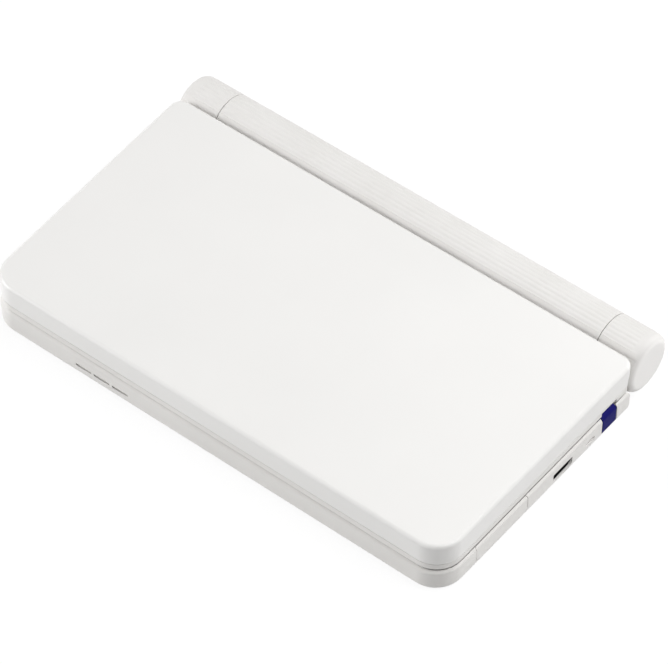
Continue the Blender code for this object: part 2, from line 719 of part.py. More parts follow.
def side_openings():
    """The card recess and its slot, the receptacle's window, the strap slot and the earphone hole."""
    inner = half_width(CARD_LOW) - CASE_WALL - OVERRUN
    recess_depth = CARD_COVER_THICKNESS + GAP
    recess = door_block(GAP, recess_depth)
    card_z = CARD_BOTTOM + CARD_HEIGHT / 2
    slot = box(
        (inner, CARD_Y - CARD_SLOT_WIDTH / 2, card_z - CARD_SLOT_HEIGHT / 2),
        (half_width(CARD_HIGH) - recess_depth - GAP / 2, CARD_Y + CARD_SLOT_WIDTH / 2, card_z + CARD_SLOT_HEIGHT / 2),
    )
    usb_window = beam(usb_outline(GAP), half_width(USB_Y) - CASE_WALL - OVERRUN, CASE_WIDTH / 2 + OVERRUN)
    eyelet_y = LID_REAR - EYELET_FROM_REAR
    eyelet_z = CASE_TOP - EYELET_DROP
    eyelet = side_block(
        eyelet_y - EYELET_LENGTH / 2,
        eyelet_y + EYELET_LENGTH / 2,
        eyelet_z - EYELET_HEIGHT / 2,
        eyelet_z + EYELET_HEIGHT / 2,
        CASE_WALL + OVERRUN,
    )
    jack_inner = -half_width(JACK_Y) + CASE_WALL + OVERRUN
    jack_hole = rod(JACK_RADIUS, -CASE_WIDTH / 2 - OVERRUN, jack_inner, (JACK_Y, JACK_Z), TURN_STEPS // 2)
    return [recess, slot, usb_window, eyelet, jack_hole]


def speaker_slots():
    z = CASE_TOP - SLOT_DROP
    slots = []
    for index in (-1, 0, 1):
        x = SPEAKER_X + index * SLOT_PITCH
        low = (x - SLOT_LENGTH / 2, CASE_FRONT - OVERRUN, z - SLOT_HEIGHT / 2)
        high = (x + SLOT_LENGTH / 2, CASE_FRONT + CASE_WALL + OVERRUN, z + SLOT_HEIGHT / 2)
        slots.append(box(low, high))
    return slots


def make_feet():
    for side, y in FOOT_PLACES:
        outline = rectangle(FOOT_LENGTH, FOOT_WIDTH, FOOT_WIDTH * FOOT_END_SHARE, (0, y))
        bm = plate(outline, 0, FOOT_THICKNESS)
        round_rim(bm, 0, FOOT_EDGE_ROUND, segments=1)
        part(f"{side}_foot_strip", bm, FOOT_RUBBER)


def make_key_deck(keys):
    """The deck plate: its rim rests in the case's seat; it is sunk and open where the keys stand."""
    rear = CASE_INSIDE_REAR - GAP
    outline = case_outline(CASE_LIP + GAP, CASE_FRONT + CASE_LIP + GAP, rear, INNER_CORNER)
    obj = part("key_deck", plate(outline, CASE_TOP - CASE_LIP_HEIGHT, DECK_LEVEL), DECK_PLASTIC)
    inset = CASE_WALL + GAP
    outline = case_outline(inset, CASE_FRONT + inset, rear - GAP, INNER_CORNER)
    middle = (CASE_TOP - CASE_LIP_HEIGHT + DECK_LEVEL) / 2
    join(obj, "body", plate(outline, DECK_UNDER, middle))
    above = DECK_LEVEL + OVERRUN
    below = DECK_UNDER - OVERRUN
    door_room = side_block(CARD_LOW - GAP, CARD_HIGH + GAP, below, above, CARD_COVER_THICKNESS + GAP)
    head_room = side_block(SILO_LOW, SILO_HIGH, below, above, STYLUS_HEAD_THICKNESS + GAP)
    cut(obj, "side_rooms", combined([door_room, head_room]))
    well = rectangle(WELL_WIDTH, WELL_DEPTH, WELL_CORNER, (0, WELL_Y))
    cut(obj, "well", plate(well, WELL_LEVEL, DECK_LEVEL + OVERRUN))
    holes = []
    for _, centre, width, depth, corner in keys:
        hole = rectangle(width + 2 * GAP, depth + 2 * GAP, corner + GAP, centre)
        holes.append(plate(hole, DECK_UNDER - OVERRUN, WELL_LEVEL + OVERRUN))
    cut(obj, "key_holes", combined(holes))
    notch = box(
        (-SHELF_HALF - GAP, SHELF_FRONT - GAP, DECK_UNDER - OVERRUN),
        (SHELF_HALF + GAP, CASE_REAR, DECK_LEVEL + OVERRUN),
    )
    cut(obj, "shelf_notch", notch)
    return obj


def key_table():
    """Each key's name, centre, width, depth and corner, from the rear row to the front one."""
    keys = []
    middle = KEY_WIDTH, KEY_DEPTH, KEY_CORNER
    for row, letters in enumerate(LETTER_ROWS):
        y = WELL_Y + (1.5 - row) * KEY_PITCH_Y
        for column, letter in enumerate(letters):
            x = (column - (len(letters) - 1) / 2) * KEY_PITCH_X
            keys.append((f"key_{letter}", (x, y), *middle))
    block = len(LETTER_ROWS[0]) * KEY_PITCH_X
    wide = WIDE_KEY_WIDTH, KEY_DEPTH, KEY_CORNER
    wide_x = (block - KEY_SPACE_X - WIDE_KEY_WIDTH) / 2
    third = WELL_Y - KEY_PITCH_Y / 2
    fourth = WELL_Y - KEY_PITCH_Y * 1.5
    keys.append(("key_shift", (-wide_x, third), *wide))
    keys.append(("key_delete", (wide_x, third), *wide))
    keys.append(("key_menu", (-wide_x, fourth), *wide))
    keys.append(("key_back", (-wide_x + WIDE_KEY_WIDTH + KEY_SPACE_X, fourth), *wide))
    keys.append(("key_enter", (wide_x, fourth), *wide))
    keys.append(("cursor_pad", (block * PAD_PLACE_SHARE, fourth), PAD_WIDTH, PAD_DEPTH, PAD_CORNER))
    return keys


def key_mesh(name, width, depth, corner):
    """A keycap on its flange, about its own centre, from the flange's foot up."""
    top = WELL_LEVEL + KEY_STAND - FLANGE_BOTTOM
    cap = plate(rectangle(width, depth, corner, (0, 0)), KEY_FLANGE / 2, top)
    round_rim(cap, top, KEY_CROWN, segments=2)
    lip = 2 * KEY_FLANGE_LIP
    flange = box(
        (-(width + lip) / 2, -(depth + lip) / 2, 0), ((width + lip) / 2, (depth + lip) / 2, KEY_FLANGE)
    )
    form = helper(f"{name}_form", flange)
    join(form, "cap", cap)
    mesh = baked_mesh(form)
    mesh.name = name
    mesh.materials.clear()
    mesh.materials.append(KEY_PLASTIC)
    return mesh


def make_keys(keys):
    meshes = {}
    for name, (x, y), *form in keys:
        form = tuple(form)
        if form not in meshes:
            meshes[form] = key_mesh(f"{name}_cap", *form)
        key = add_object(name, meshes[form])
        key.location = (x, y, FLANGE_BOTTOM)


def card_notch(grow, low, high):
    """The room that the card socket takes out of the board and the mat."""
    return box(
        (CARD_FACE - CARD_LENGTH - grow, CARD_Y - CARD_WIDTH / 2 - grow, low),
        (CASE_WIDTH / 2, CARD_Y + CARD_WIDTH / 2 + grow, high),
    )


def usb_notch(grow, low, high):
    """The room that the receptacle takes out of the board's edge."""
    back = half_width(USB_Y) - USB_SETBACK - USB_LENGTH
    return box(
        (back - grow, USB_Y - USB_WIDTH / 2 - grow, low), (CASE_WIDTH / 2, USB_Y + USB_WIDTH / 2 + grow, high)
    )


def make_key_mat():
    outline = rectangle(WELL_WIDTH - 2 * MAT_INSET, WELL_DEPTH - 2 * MAT_INSET, WELL_CORNER, (0, WELL_Y))
    obj = part("key_mat", plate(outline, MAT_BOTTOM, MAT_TOP), MAT_SILICONE)
    cut(obj, "card_notch", card_notch(GAP, MAT_BOTTOM - OVERRUN, MAT_TOP + OVERRUN))


def make_main_board():
    front = CASE_FRONT + BOARD_FRONT_INSET
    outline = case_outline(BOARD_SIDE_INSET, front, BOARD_REAR, INNER_CORNER)
    obj = part("main_board", plate(outline, BOARD_BOTTOM, BOARD_TOP), BOARD_LAMINATE)
    low = BOARD_BOTTOM - OVERRUN
    high = BOARD_TOP + OVERRUN
    cut(obj, "socket_notches", combined([card_notch(GAP, low, high), usb_notch(GAP, low, high)]))


def make_usb_socket():
    mouth = half_width(USB_Y) - USB_SETBACK
    back = mouth - USB_LENGTH
    obj = part("usb_socket", beam(usb_outline(0), back, mouth), STEEL)
    cut(obj, "inside", beam(usb_outline(-USB_WALL), back + USB_BACK, mouth + OVERRUN))
    tongue = box(
        (back + USB_BACK / 2, USB_Y - USB_TONGUE_WIDTH / 2, USB_Z - USB_TONGUE_THICKNESS / 2),
        (mouth - USB_TONGUE_SETBACK, USB_Y + USB_TONGUE_WIDTH / 2, USB_Z + USB_TONGUE_THICKNESS / 2),
    )
    join(obj, "tongue", tongue)


def make_card_socket():
    high = CARD_BOTTOM + CARD_HEIGHT
    body = box(
        (CARD_FACE - CARD_LENGTH, CARD_Y - CARD_WIDTH / 2, CARD_BOTTOM), (CARD_FACE, CARD_Y + CARD_WIDTH / 2, high)
    )
    obj = part("card_socket", body, STEEL)
    middle = CARD_BOTTOM + CARD_HEIGHT / 2
    slot = box(
        (CARD_FACE - CARD_SLOT_DEPTH, CARD_Y - CARD_SLOT_WIDTH / 2, middle - CARD_SLOT_HEIGHT / 2),
        (CARD_FACE + OVERRUN, CARD_Y + CARD_SLOT_WIDTH / 2, middle + CARD_SLOT_HEIGHT / 2),
    )
    cut(obj, "slot", slot)


def make_speaker():
    front = CASE_FRONT + CASE_WALL + GAP
    outline = rectangle(SPEAKER_WIDTH, SPEAKER_DEPTH, INNER_CORNER, (SPEAKER_X, front + SPEAKER_DEPTH / 2))
    part("speaker", plate(outline, FLOOR_LEVEL + GAP, FLOOR_LEVEL + GAP + SPEAKER_HEIGHT), BLACK_PLASTIC)


def make_earphone_jack():
    face = -half_width(JACK_Y - JACK_BODY_WIDTH) + CASE_WALL + GAP
    body = box(
        (face, JACK_Y - JACK_BODY_WIDTH / 2, JACK_Z - JACK_BODY_HEIGHT / 2),
        (face + JACK_BODY_LENGTH, JACK_Y + JACK_BODY_WIDTH / 2, JACK_Z + JACK_BODY_HEIGHT / 2),
    )
    obj = part("earphone_jack", body, BLACK_PLASTIC)
    cut(obj, "bore", rod(JACK_RADIUS, face - OVERRUN, face + JACK_DEPTH, (JACK_Y, JACK_Z), TURN_STEPS // 2))


def make_card_cover():
    """A door that carries on the case's side and chamfer, hinged along its foot."""
    obj = part("card_slot_cover", case_body(), WHITE_CASE)
    keep(obj, "door", door_block(0, CARD_COVER_THICKNESS))
    mesh = baked_mesh(obj)
    obj.modifiers.clear()
    obj.data = mesh
    place_origin(obj, (half_width(CARD_Y), CARD_Y, CARD_COVER_FOOT))


def make_stylus():
    """A flat pen that tapers to its tip, with a head that closes the case's side."""
    obj = part("stylus", case_body(), STYLUS_PLASTIC)
    half = HEAD_HALF
    keep(
        obj, "head",
        side_block(STYLUS_Y - half, STYLUS_Y + half, HEAD_FOOT, CASE_TOP + OVERRUN, STYLUS_HEAD_THICKNESS),
    )
    section = rectangle(STYLUS_WIDTH, STYLUS_THICKNESS, STYLUS_CORNER, (STYLUS_Y, STYLUS_Z))
    taper_start = STYLUS_TIP + STYLUS_TIP_LENGTH
    shaft = beam(section, taper_start, STYLUS_FACE - STYLUS_HEAD_THICKNESS + STYLUS_HEAD_ROOT)
    end = [f for f in shaft.faces if all(abs(v.co.x - taper_start) < MERGE for v in f.verts)]
    tip = bmesh.ops.extrude_face_region(shaft, geom=end)
    tip_verts = [g for g in tip["geom"] if isinstance(g, bmesh.types.BMVert)]
    bmesh.ops.delete(shaft, geom=end, context="FACES")
    bmesh.ops.translate(shaft, vec=(-STYLUS_TIP_LENGTH, 0, 0), verts=tip_verts)
    share = STYLUS_TIP_WIDTH / STYLUS_WIDTH
    middle = Matrix.Translation((0, -STYLUS_Y, -STYLUS_Z))
    bmesh.ops.scale(shaft, vec=(1, share, share), space=middle, verts=tip_verts)
    join(obj, "shaft", shaft)
    mesh = baked_mesh(obj)
    obj.modifiers.clear()
    obj.data = mesh
    place_origin(obj, (STYLUS_FACE, STYLUS_Y, STYLUS_Z))


# Barrel, hinge and batteries


def make_battery_barrel():
    """The barrel's centre, one with the shelf that holds it to the base, open below for the cells."""
    half = CENTRE_HALF
    obj = part("battery_barrel", beam(fluted_outline(channel=True), -half, half), WHITE_BARREL)
    shelf = box(
        (-SHELF_HALF, SHELF_FRONT, DECK_LEVEL - SHELF_THICKNESS),
        (SHELF_HALF, AXIS_Y - CELL_RADIUS, DECK_LEVEL),
    )
    join(obj, "shelf", shelf)
    cut(obj, "bay", rod(CELL_RADIUS + GAP, -BAY_HALF, BAY_HALF, AXIS, TURN_STEPS + TURN_STEPS // 2))
    mouth = sector_outline(BARREL_RADIUS + 2 * OVERRUN, OPENING_FROM_DEG, OPENING_TO_DEG)
    cut(obj, "bay_mouth", beam(mouth, -BAY_HALF, BAY_HALF))
    cut(obj, "shaft_bores", rod(SHAFT_RADIUS + GAP, -half - OVERRUN, half + OVERRUN, AXIS, TURN_STEPS // 2))


def make_battery_cover():
    """The shell that closes the bay from below and behind, with ridges for the thumb."""
    half = BAY_HALF - GAP
    obj = part("battery_cover", beam(fluted_outline(channel=False), -half, half), WHITE_BARREL)
    hollow = rod(CELL_RADIUS + GAP, -half - OVERRUN, half + OVERRUN, AXIS, TURN_STEPS + TURN_STEPS // 2)
    cut(obj, "hollow", hollow)
    slice_outline = sector_outline(
        BARREL_RADIUS + 2 * OVERRUN, OPENING_FROM_DEG + COVER_EDGE_DEG, OPENING_TO_DEG - COVER_EDGE_DEG
    )
    keep(obj, "slice", beam(slice_outline, -half - OVERRUN, half + OVERRUN))
    ridges = []
    for index in range(GRIP_RIDGES):
        ridge = box(
            (-GRIP_WIDTH / 2, BARREL_RADIUS - GRIP_ROOT, -GRIP_THICKNESS / 2),
            (GRIP_WIDTH / 2, BARREL_RADIUS + GRIP_HEIGHT, GRIP_THICKNESS / 2),
        )
        degrees = COVER_PULL_DEG + (index - (GRIP_RIDGES - 1) / 2) * GRIP_RIDGE_STEP_DEG
        turn = Matrix.Translation((0, *AXIS)) @ Matrix.Rotation(math.radians(degrees), 4, "X")
        bmesh.ops.transform(ridge, matrix=turn, verts=ridge.verts[:])
        ridges.append(ridge)
    join(obj, "ridges", combined(ridges))


def make_cells():
    """Two cells in line; each one's nub points to +X, and the spring takes up what is left."""
    end = BAY_HALF - GAP - CONTACT_THICKNESS - GAP
    edge = CELL_EDGE_ROUND
    spring_end = GAP + SPRING_LENGTH - BAY_HALF
    length = (end - spring_end - 2 * GAP) / 2
    for name in ("right", "left"):
        shoulder = end - CELL_NUB_LENGTH
        start = end - length
        profile = [
            (start, 0),
            (start, CELL_RADIUS - edge),
            (start + edge, CELL_RADIUS),
            (shoulder - edge, CELL_RADIUS),
            (shoulder, CELL_RADIUS - edge),
            (shoulder, CELL_NUB_RADIUS),
            (end, CELL_NUB_RADIUS),
            (end, 0),
        ]
        part(f"battery_cell_{name}", turned(profile), CELL_SLEEVE)
        end = start - GAP
    return spring_end


def make_contacts(spring_end):
    plate_low = BAY_HALF - GAP - CONTACT_THICKNESS
    part("contact_plate", rod(CONTACT_RADIUS, plate_low, BAY_HALF - GAP, AXIS, TURN_STEPS // 2), STEEL)

    curve = bpy.data.curves.new("contact_spring", "CURVE")
    curve.dimensions = "3D"
    curve.bevel_depth = SPRING_WIRE_RADIUS
    curve.bevel_resolution = 1
    curve.use_fill_caps = True
    spline = curve.splines.new("POLY")
    count = SPRING_TURNS * SPRING_POINTS_A_TURN
    spline.points.add(count)
    start = -BAY_HALF + GAP + SPRING_WIRE_RADIUS
    length = spring_end - SPRING_WIRE_RADIUS - start
    for index, point in enumerate(spline.points):
        share = index / count
        angle = math.tau * SPRING_TURNS * share
        radius = SPRING_BASE_RADIUS + (SPRING_TIP_RADIUS - SPRING_BASE_RADIUS) * share
        y = AXIS_Y + radius * math.cos(angle)
        z = AXIS_Z + radius * math.sin(angle)
        point.co = (start + length * share, y, z, 1)
    holder = add_object("spring_path", curve, collection=CUTTERS)
    mesh = baked_mesh(holder)
    bpy.data.objects.remove(holder)
    bm = bmesh.new()
    bm.from_mesh(mesh)
    bmesh.ops.remove_doubles(bm, verts=bm.verts[:], dist=MERGE)
    part("contact_spring", bm, STEEL)


def make_hinge_side(name, side):
    """One end of the hinge, for side +1 or -1: the knuckle with its neck, and the friction shaft."""
    end = BARREL_END
    plain_start = end - BARREL_PLAIN_END
    knuckle = beam(fluted_outline(channel=True), KNUCKLE_START, plain_start)
    cap_radius = BARREL_RADIUS - RIB_DEPTH / 2
    edge = BARREL_END_ROUND
    profile = [(plain_start - BARREL_PLAIN_END / 2, 0), (plain_start - BARREL_PLAIN_END / 2, cap_radius)]
    for step in range(ROUND_STEPS + 1):
        angle = math.pi / 2 * step / ROUND_STEPS
        profile.append((end - edge + edge * math.sin(angle), cap_radius - edge + edge * math.cos(angle)))
    profile.append((end, 0))
    neck_low = KNUCKLE_START + NECK_SEAM_INSET
    neck_high = end - NECK_END_INSET
    neck = box(
        (neck_low, AXIS_Y - NECK_REACH, COVER_BOTTOM + GAP),
        (neck_high, AXIS_Y - FRICTION_RADIUS - NECK_ROOT, LID_LEVEL - NECK_TOP_DROP),
    )
    seat_start = KNUCKLE_START + GAP
    seat_end = seat_start + FRICTION_LENGTH
    seat = rod(FRICTION_RADIUS + GAP, KNUCKLE_START - OVERRUN, seat_end + GAP, AXIS, TURN_STEPS)
    shaft_profile = [
        (CENTRE_HALF - SHAFT_GRIP, 0),
        (CENTRE_HALF - SHAFT_GRIP, SHAFT_RADIUS),
        (seat_start, SHAFT_RADIUS),
        (seat_start, FRICTION_RADIUS),
        (seat_end, FRICTION_RADIUS),
        (seat_end, 0),
    ]
    shaft = turned(shaft_profile, TURN_STEPS // 2)
    end_form = helper(f"{name}_end_form", turned(profile))
    channel = channel_outline(cap_radius - CHANNEL_DEPTH)
    cut(end_form, "channel", beam(channel, plain_start - BARREL_PLAIN_END, end + OVERRUN))
    turned_end = bmesh.new()
    turned_end.from_mesh(baked_mesh(end_form))
    for bm in (knuckle, turned_end, neck, seat, shaft):
        bmesh.ops.scale(bm, vec=(side, 1, 1), verts=bm.verts[:])
    obj = part(f"hinge_knuckle_{name}", knuckle, WHITE_BARREL)
    join(obj, "end", turned_end)
    join(obj, "neck", neck)
    cut(obj, "seat", seat)
    part(f"hinge_shaft_{name}", shaft, STEEL)
    return neck_low - GAP, neck_high + GAP


# Lid


def make_lid_cover(neck_span):
    """The lid's outer shell, hollow below, with ribs over the display and gates for the necks."""
    bm = plate(case_outline(LID_INSET, LID_FRONT, LID_REAR, LID_REAR_CORNER), COVER_BOTTOM, LID_LEVEL)
    round_rim(bm, LID_LEVEL, LID_TOP_ROUND)
    obj = part("lid_cover", bm, WHITE_LID)
    inside_rear = AXIS_Y - BARREL_RADIUS - HINGE_GAP - LID_WALL
    ceiling = LID_LEVEL - LID_TOP
    inside = case_outline(LID_INSET + LID_WALL, LID_FRONT + LID_WALL, inside_rear, INNER_CORNER)
    cut(obj, "inside", plate(inside, COVER_BOTTOM - OVERRUN, ceiling))
    rib_foot = FRAME_TOP + GAP + DISPLAY_THICKNESS + DISPLAY_BACK_THICKNESS + GAP
    reach = half_width(SCREEN_Y) - LID_INSET - LID_WALL / 2
    ribs = []
    for share in LID_RIB_SHARES:
        y = SCREEN_Y + share * SCREEN_DEPTH
        ribs.append(box((-reach, y - LID_RIB / 2, rib_foot), (reach, y + LID_RIB / 2, ceiling + LID_TOP / 2)))
    join(obj, "ribs", combined(ribs))
    cut(obj, "barrel_hollow", barrel_clearance(HINGE_GAP))
    gates = []
    for side in (-1, 1):
        low, high = sorted((side * neck_span[0], side * neck_span[1]))
        gates.append(
            box(
                (low, AXIS_Y - NECK_REACH - GAP, COVER_BOTTOM - OVERRUN),
                (high, AXIS_Y, LID_LEVEL - NECK_TOP_DROP + GAP),
            )
        )
    cut(obj, "neck_gates", combined(gates))


def make_lid_frame():
    """The bezel under the display, with a ledge for the touch panel and two rubbing bumpers."""
    bm = plate(case_outline(LID_INSET, LID_FRONT, LID_REAR, LID_REAR_CORNER), LID_BOTTOM, FRAME_TOP)
    round_rim(bm, LID_BOTTOM, FRAME_EDGE_ROUND, segments=2)
    obj = part("lid_frame", bm, WHITE_CASE)
    place = (0, SCREEN_Y)
    window = rectangle(SCREEN_WIDTH, SCREEN_DEPTH, SCREEN_CORNER, place)
    cut(obj, "window", plate(window, LID_BOTTOM - OVERRUN, FRAME_TOP + OVERRUN))
    grow = 2 * TOUCH_LAP + 2 * GAP
    ledge = rectangle(SCREEN_WIDTH + grow, SCREEN_DEPTH + grow, SCREEN_CORNER, place)
    cut(obj, "ledge", plate(ledge, LID_BOTTOM + FRAME_LEDGE, FRAME_TOP + OVERRUN))
    cut(obj, "barrel_hollow", barrel_clearance(HINGE_GAP))
    notch = side_block(SILO_LOW, SILO_HIGH, LID_BOTTOM - OVERRUN, LID_BOTTOM + NOTCH_HEIGHT, NOTCH_DEPTH)
    cut(obj, "stylus_notch", notch)
    y = LID_FRONT + BUMPER_INSET
    x = half_width(y) - FRONT_CORNER - BUMPER_INSET
    low = LID_BOTTOM - BUMPER_HEIGHT
    bumpers = [
        cylinder(BUMPER_RADIUS, low, LID_BOTTOM + FRAME_LEDGE / 2, (side * x, y), TURN_STEPS // 2)
        for side in (-1, 1)
    ]
    join(obj, "bumpers", combined(bumpers))


def make_display():
    place = (0, SCREEN_Y)
    lap = 2 * TOUCH_LAP
    outline = rectangle(SCREEN_WIDTH + lap, SCREEN_DEPTH + lap, SCREEN_CORNER, place)
    low = LID_BOTTOM + FRAME_LEDGE + GAP
    part("touch_panel", plate(outline, low, low + TOUCH_THICKNESS), TOUCH_GLASS)

    lap = 2 * DISPLAY_LAP
    low = FRAME_TOP + GAP
    high = low + DISPLAY_THICKNESS
    outline = rectangle(SCREEN_WIDTH + lap, SCREEN_DEPTH + lap, SCREEN_CORNER, place)
    obj = part("display_module", plate(outline, low, high), STEEL)
    lap -= 2 * DISPLAY_BACK_INSET
    outline = rectangle(SCREEN_WIDTH + lap, SCREEN_DEPTH + lap, SCREEN_CORNER, place)
    join(obj, "back", plate(outline, high - DISPLAY_BACK_THICKNESS, high + DISPLAY_BACK_THICKNESS))


def hang_on_axis(names):
    """Gives these pieces an origin on the hinge's axis."""
    for name in names:
        place_origin(PARTS.objects[name], (0, *AXIS))


def shade_all():
    for obj in PARTS.objects:
        obj.data.shade_smooth()
        obj.data.set_sharp_from_angle(angle=math.radians(30))


def main():
    keys = key_table()
    make_base_case()
    make_feet()
    make_key_deck(keys)
    make_keys(keys)
    make_key_mat()
    make_main_board()
    make_usb_socket()
    make_card_socket()
    make_speaker()
    make_earphone_jack()
    make_card_cover()
    make_stylus()
    make_battery_barrel()
    make_battery_cover()
    spring_end = make_cells()
    make_contacts(spring_end)
    neck_span = make_hinge_side("right", 1)
    make_hinge_side("left", -1)
    make_lid_cover(neck_span)
    make_lid_frame()
    make_display()
    hang_on_axis(LID_PIECES + ("battery_cover",))
    shade_all()


main()
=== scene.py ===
import math

import bmesh
import bpy
from mathutils import Matrix, Vector


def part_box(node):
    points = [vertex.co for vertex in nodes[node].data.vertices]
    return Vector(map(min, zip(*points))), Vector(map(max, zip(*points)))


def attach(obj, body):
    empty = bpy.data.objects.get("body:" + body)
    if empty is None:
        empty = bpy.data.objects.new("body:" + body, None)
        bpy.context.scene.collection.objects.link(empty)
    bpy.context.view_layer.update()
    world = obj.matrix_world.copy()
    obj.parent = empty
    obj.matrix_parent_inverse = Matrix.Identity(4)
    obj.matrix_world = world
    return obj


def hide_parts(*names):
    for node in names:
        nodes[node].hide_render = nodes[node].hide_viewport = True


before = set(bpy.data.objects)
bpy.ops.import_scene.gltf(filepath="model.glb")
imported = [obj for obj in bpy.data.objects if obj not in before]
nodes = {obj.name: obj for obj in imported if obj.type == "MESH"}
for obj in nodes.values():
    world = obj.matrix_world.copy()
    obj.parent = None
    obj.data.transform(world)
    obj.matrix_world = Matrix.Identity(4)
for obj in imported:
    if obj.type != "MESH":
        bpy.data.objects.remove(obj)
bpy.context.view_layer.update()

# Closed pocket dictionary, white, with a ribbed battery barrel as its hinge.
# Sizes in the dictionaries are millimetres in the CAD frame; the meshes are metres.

mm = 0.001
tiny = 1e-6

# the outer form that the base, the lid, the card door and the stylus head share
case = {
    "halfWidth": 74.0, "flare": 1.5, "front": -46.35, "rear": 31.55, "low": 0.5, "top": 8.0,
    "frontCorner": 8.0, "rearCorner": 2.2, "bottomRound": 2.0, "rimChamfer": 1.2, "wall": 2.0, "floor": 1.7,
    "insideRear": 27.47, "saddle": 0.45, "seat": (0.68, 0.92), "seatLow": 7.0,
    "groove": 0.97, "grooveLow": 5.6, "grooveRear": 30.6, "chamferProfile": 0.35,
    "insideRadii": (6, 6, 1.5, 1.5), "seatRadii": (7.3, 7.3, 1.5, 1.5),
    "grooveRadii": ((7.3, 7.3, 0.5, 0.5), (6.4, 6.4, 0.5, 0.5)),
}
axis = {"y": 38.0, "z": 10.15, "radius": 8.35}
siloY = (18.35, 24.55)
gap = 0.3
past = 1  # how far a cutter reaches beyond what it cuts
span = 80  # half the length of cutters that cross the whole object


# shader helpers


usualNoise = {"From Min": 0.3, "From Max": 0.7}  # most of a noise texture's values lie in this range


def linear(hexCode):
    parts = [int(hexCode[i : i + 2], 16) / 255 for i in (1, 3, 5)]
    return tuple(p / 12.92 if p <= 0.04045 else ((p + 0.055) / 1.055) ** 2.4 for p in parts) + (1.0,)


def addNode(tree, kind, inputs=None, **settings):
    node = tree.nodes.new(kind)
    for name, value in settings.items():
        setattr(node, name, value)
    for name, value in (inputs or {}).items():
        if isinstance(value, bpy.types.NodeSocket):
            tree.links.new(value, node.inputs[name])
        else:
            node.inputs[name].default_value = value
    return node


def startMaterial(name):
    material = bpy.data.materials.new(name)
    material.use_nodes = True
    material.node_tree.nodes.clear()
    place = addNode(material.node_tree, "ShaderNodeTexCoord").outputs["Object"]
    return material, material.node_tree, place


def moulded(name, look):
    # injection-moulded plastic or rubber: soft clouding, spark-eroded grain, slightly uneven gloss
    material, tree, place = startMaterial(name)
    clouds = addNode(tree, "ShaderNodeTexNoise", {
        "Vector": place, "Scale": 1 / (look["cloudSize"] * mm), "Detail": 3.0,
    })
    shaded = addNode(tree, "ShaderNodeMapRange", {"Value": clouds.outputs["Fac"], **usualNoise})
    colour = addNode(tree, "ShaderNodeMix", {
        0: shaded.outputs["Result"], 6: linear(look["colour"]), 7: linear(look["shade"]),
    }, data_type="RGBA")
    # painted light: a lighter colour on the barrel's flat end faces, from |x| = endsFrom outward, standing in for the
    # light they catch
    if "ends" in look:
        x = addNode(tree, "ShaderNodeSeparateXYZ", {"Vector": place}).outputs["X"]
        out = addNode(tree, "ShaderNodeMath", {0: x}, operation="ABSOLUTE")
        near, far = look["endsFrom"]
        share = addNode(tree, "ShaderNodeMapRange", {
            "Value": out.outputs[0], "From Min": near * mm, "From Max": far * mm,
        })
        colour = addNode(tree, "ShaderNodeMix", {
            0: share.outputs["Result"], 6: colour.outputs[2], 7: linear(look["ends"]),
        }, data_type="RGBA")
    specks = addNode(tree, "ShaderNodeTexNoise", {
        "Vector": place, "Scale": 1 / (look["grainSize"] * 3 * mm), "Detail": 1.0,
    })
    low, high = look["roughness"]
    rough = addNode(tree, "ShaderNodeMapRange", {
        "Value": specks.outputs["Fac"], "To Min": low, "To Max": high, **usualNoise,
    })
    grain = addNode(tree, "ShaderNodeTexNoise", {"Vector": place, "Scale": 1 / (look["grainSize"] * mm)})
    bump = addNode(tree, "ShaderNodeBump", {
        "Height": grain.outputs["Fac"], "Strength": 0.4, "Distance": look["grainDepth"] * mm,
    })
    shader = addNode(tree, "ShaderNodeBsdfPrincipled", {
        "Base Color": colour.outputs[2], "Roughness": rough.outputs["Result"], "Normal": bump.outputs["Normal"],
        "IOR": look.get("ior", 1.5), "Specular IOR Level": look.get("shine", 0.5),
        "Coat Weight": look.get("coat", 0.0), "Coat Roughness": look.get("coatRough", 0.1),
    })
    addNode(tree, "ShaderNodeOutputMaterial", {"Surface": shader.outputs["BSDF"]})
    return material


def drawnMetal(name, look):
    # rolled or drawn metal: fine streaks along one axis
    material, tree, place = startMaterial(name)
    stretched = addNode(tree, "ShaderNodeMapping", {"Vector": place, "Scale": look["streak"]})
    streaks = addNode(tree, "ShaderNodeTexNoise", {
        "Vector": stretched.outputs["Vector"], "Scale": 1 / (look["streakSize"] * mm), "Detail": 4.0,
    })
    colour = addNode(tree, "ShaderNodeMix", {
        0: streaks.outputs["Fac"], 6: linear(look["colour"]), 7: linear(look["shade"]),
    }, data_type="RGBA")
    low, high = look["roughness"]
    rough = addNode(tree, "ShaderNodeMapRange", {
        "Value": streaks.outputs["Fac"], "To Min": low, "To Max": high, **usualNoise,
    })
    bump = addNode(tree, "ShaderNodeBump", {
        "Height": streaks.outputs["Fac"], "Strength": 0.3, "Distance": look["streakDepth"] * mm,
    })
    shader = addNode(tree, "ShaderNodeBsdfPrincipled", {
        "Base Color": colour.outputs[2], "Metallic": 1.0, "Roughness": rough.outputs["Result"],
        "Normal": bump.outputs["Normal"],
    })
    addNode(tree, "ShaderNodeOutputMaterial", {"Surface": shader.outputs["BSDF"]})
    return material


# satin white lacquer over a pressed lid: almost even, a shade warmer in soft clouds
lidLacquer = moulded("satin white lacquer", {
    "colour": "#F3F2F0", "shade": "#F0EFED", "cloudSize": 42.0, "grainSize": 0.5, "grainDepth": 0.0015,
    "roughness": (0.30, 0.36), "coat": 0.15, "coatRough": 0.18,
})
# white ABS with a fine eroded grain, a little greyer than the lacquer
caseAbs = moulded("grained white ABS", {
    "colour": "#EDEBE8", "shade": "#E9E7E4", "cloudSize": 25.0, "grainSize": 0.45, "grainDepth": 0.006,
    "roughness": (0.42, 0.52),
})
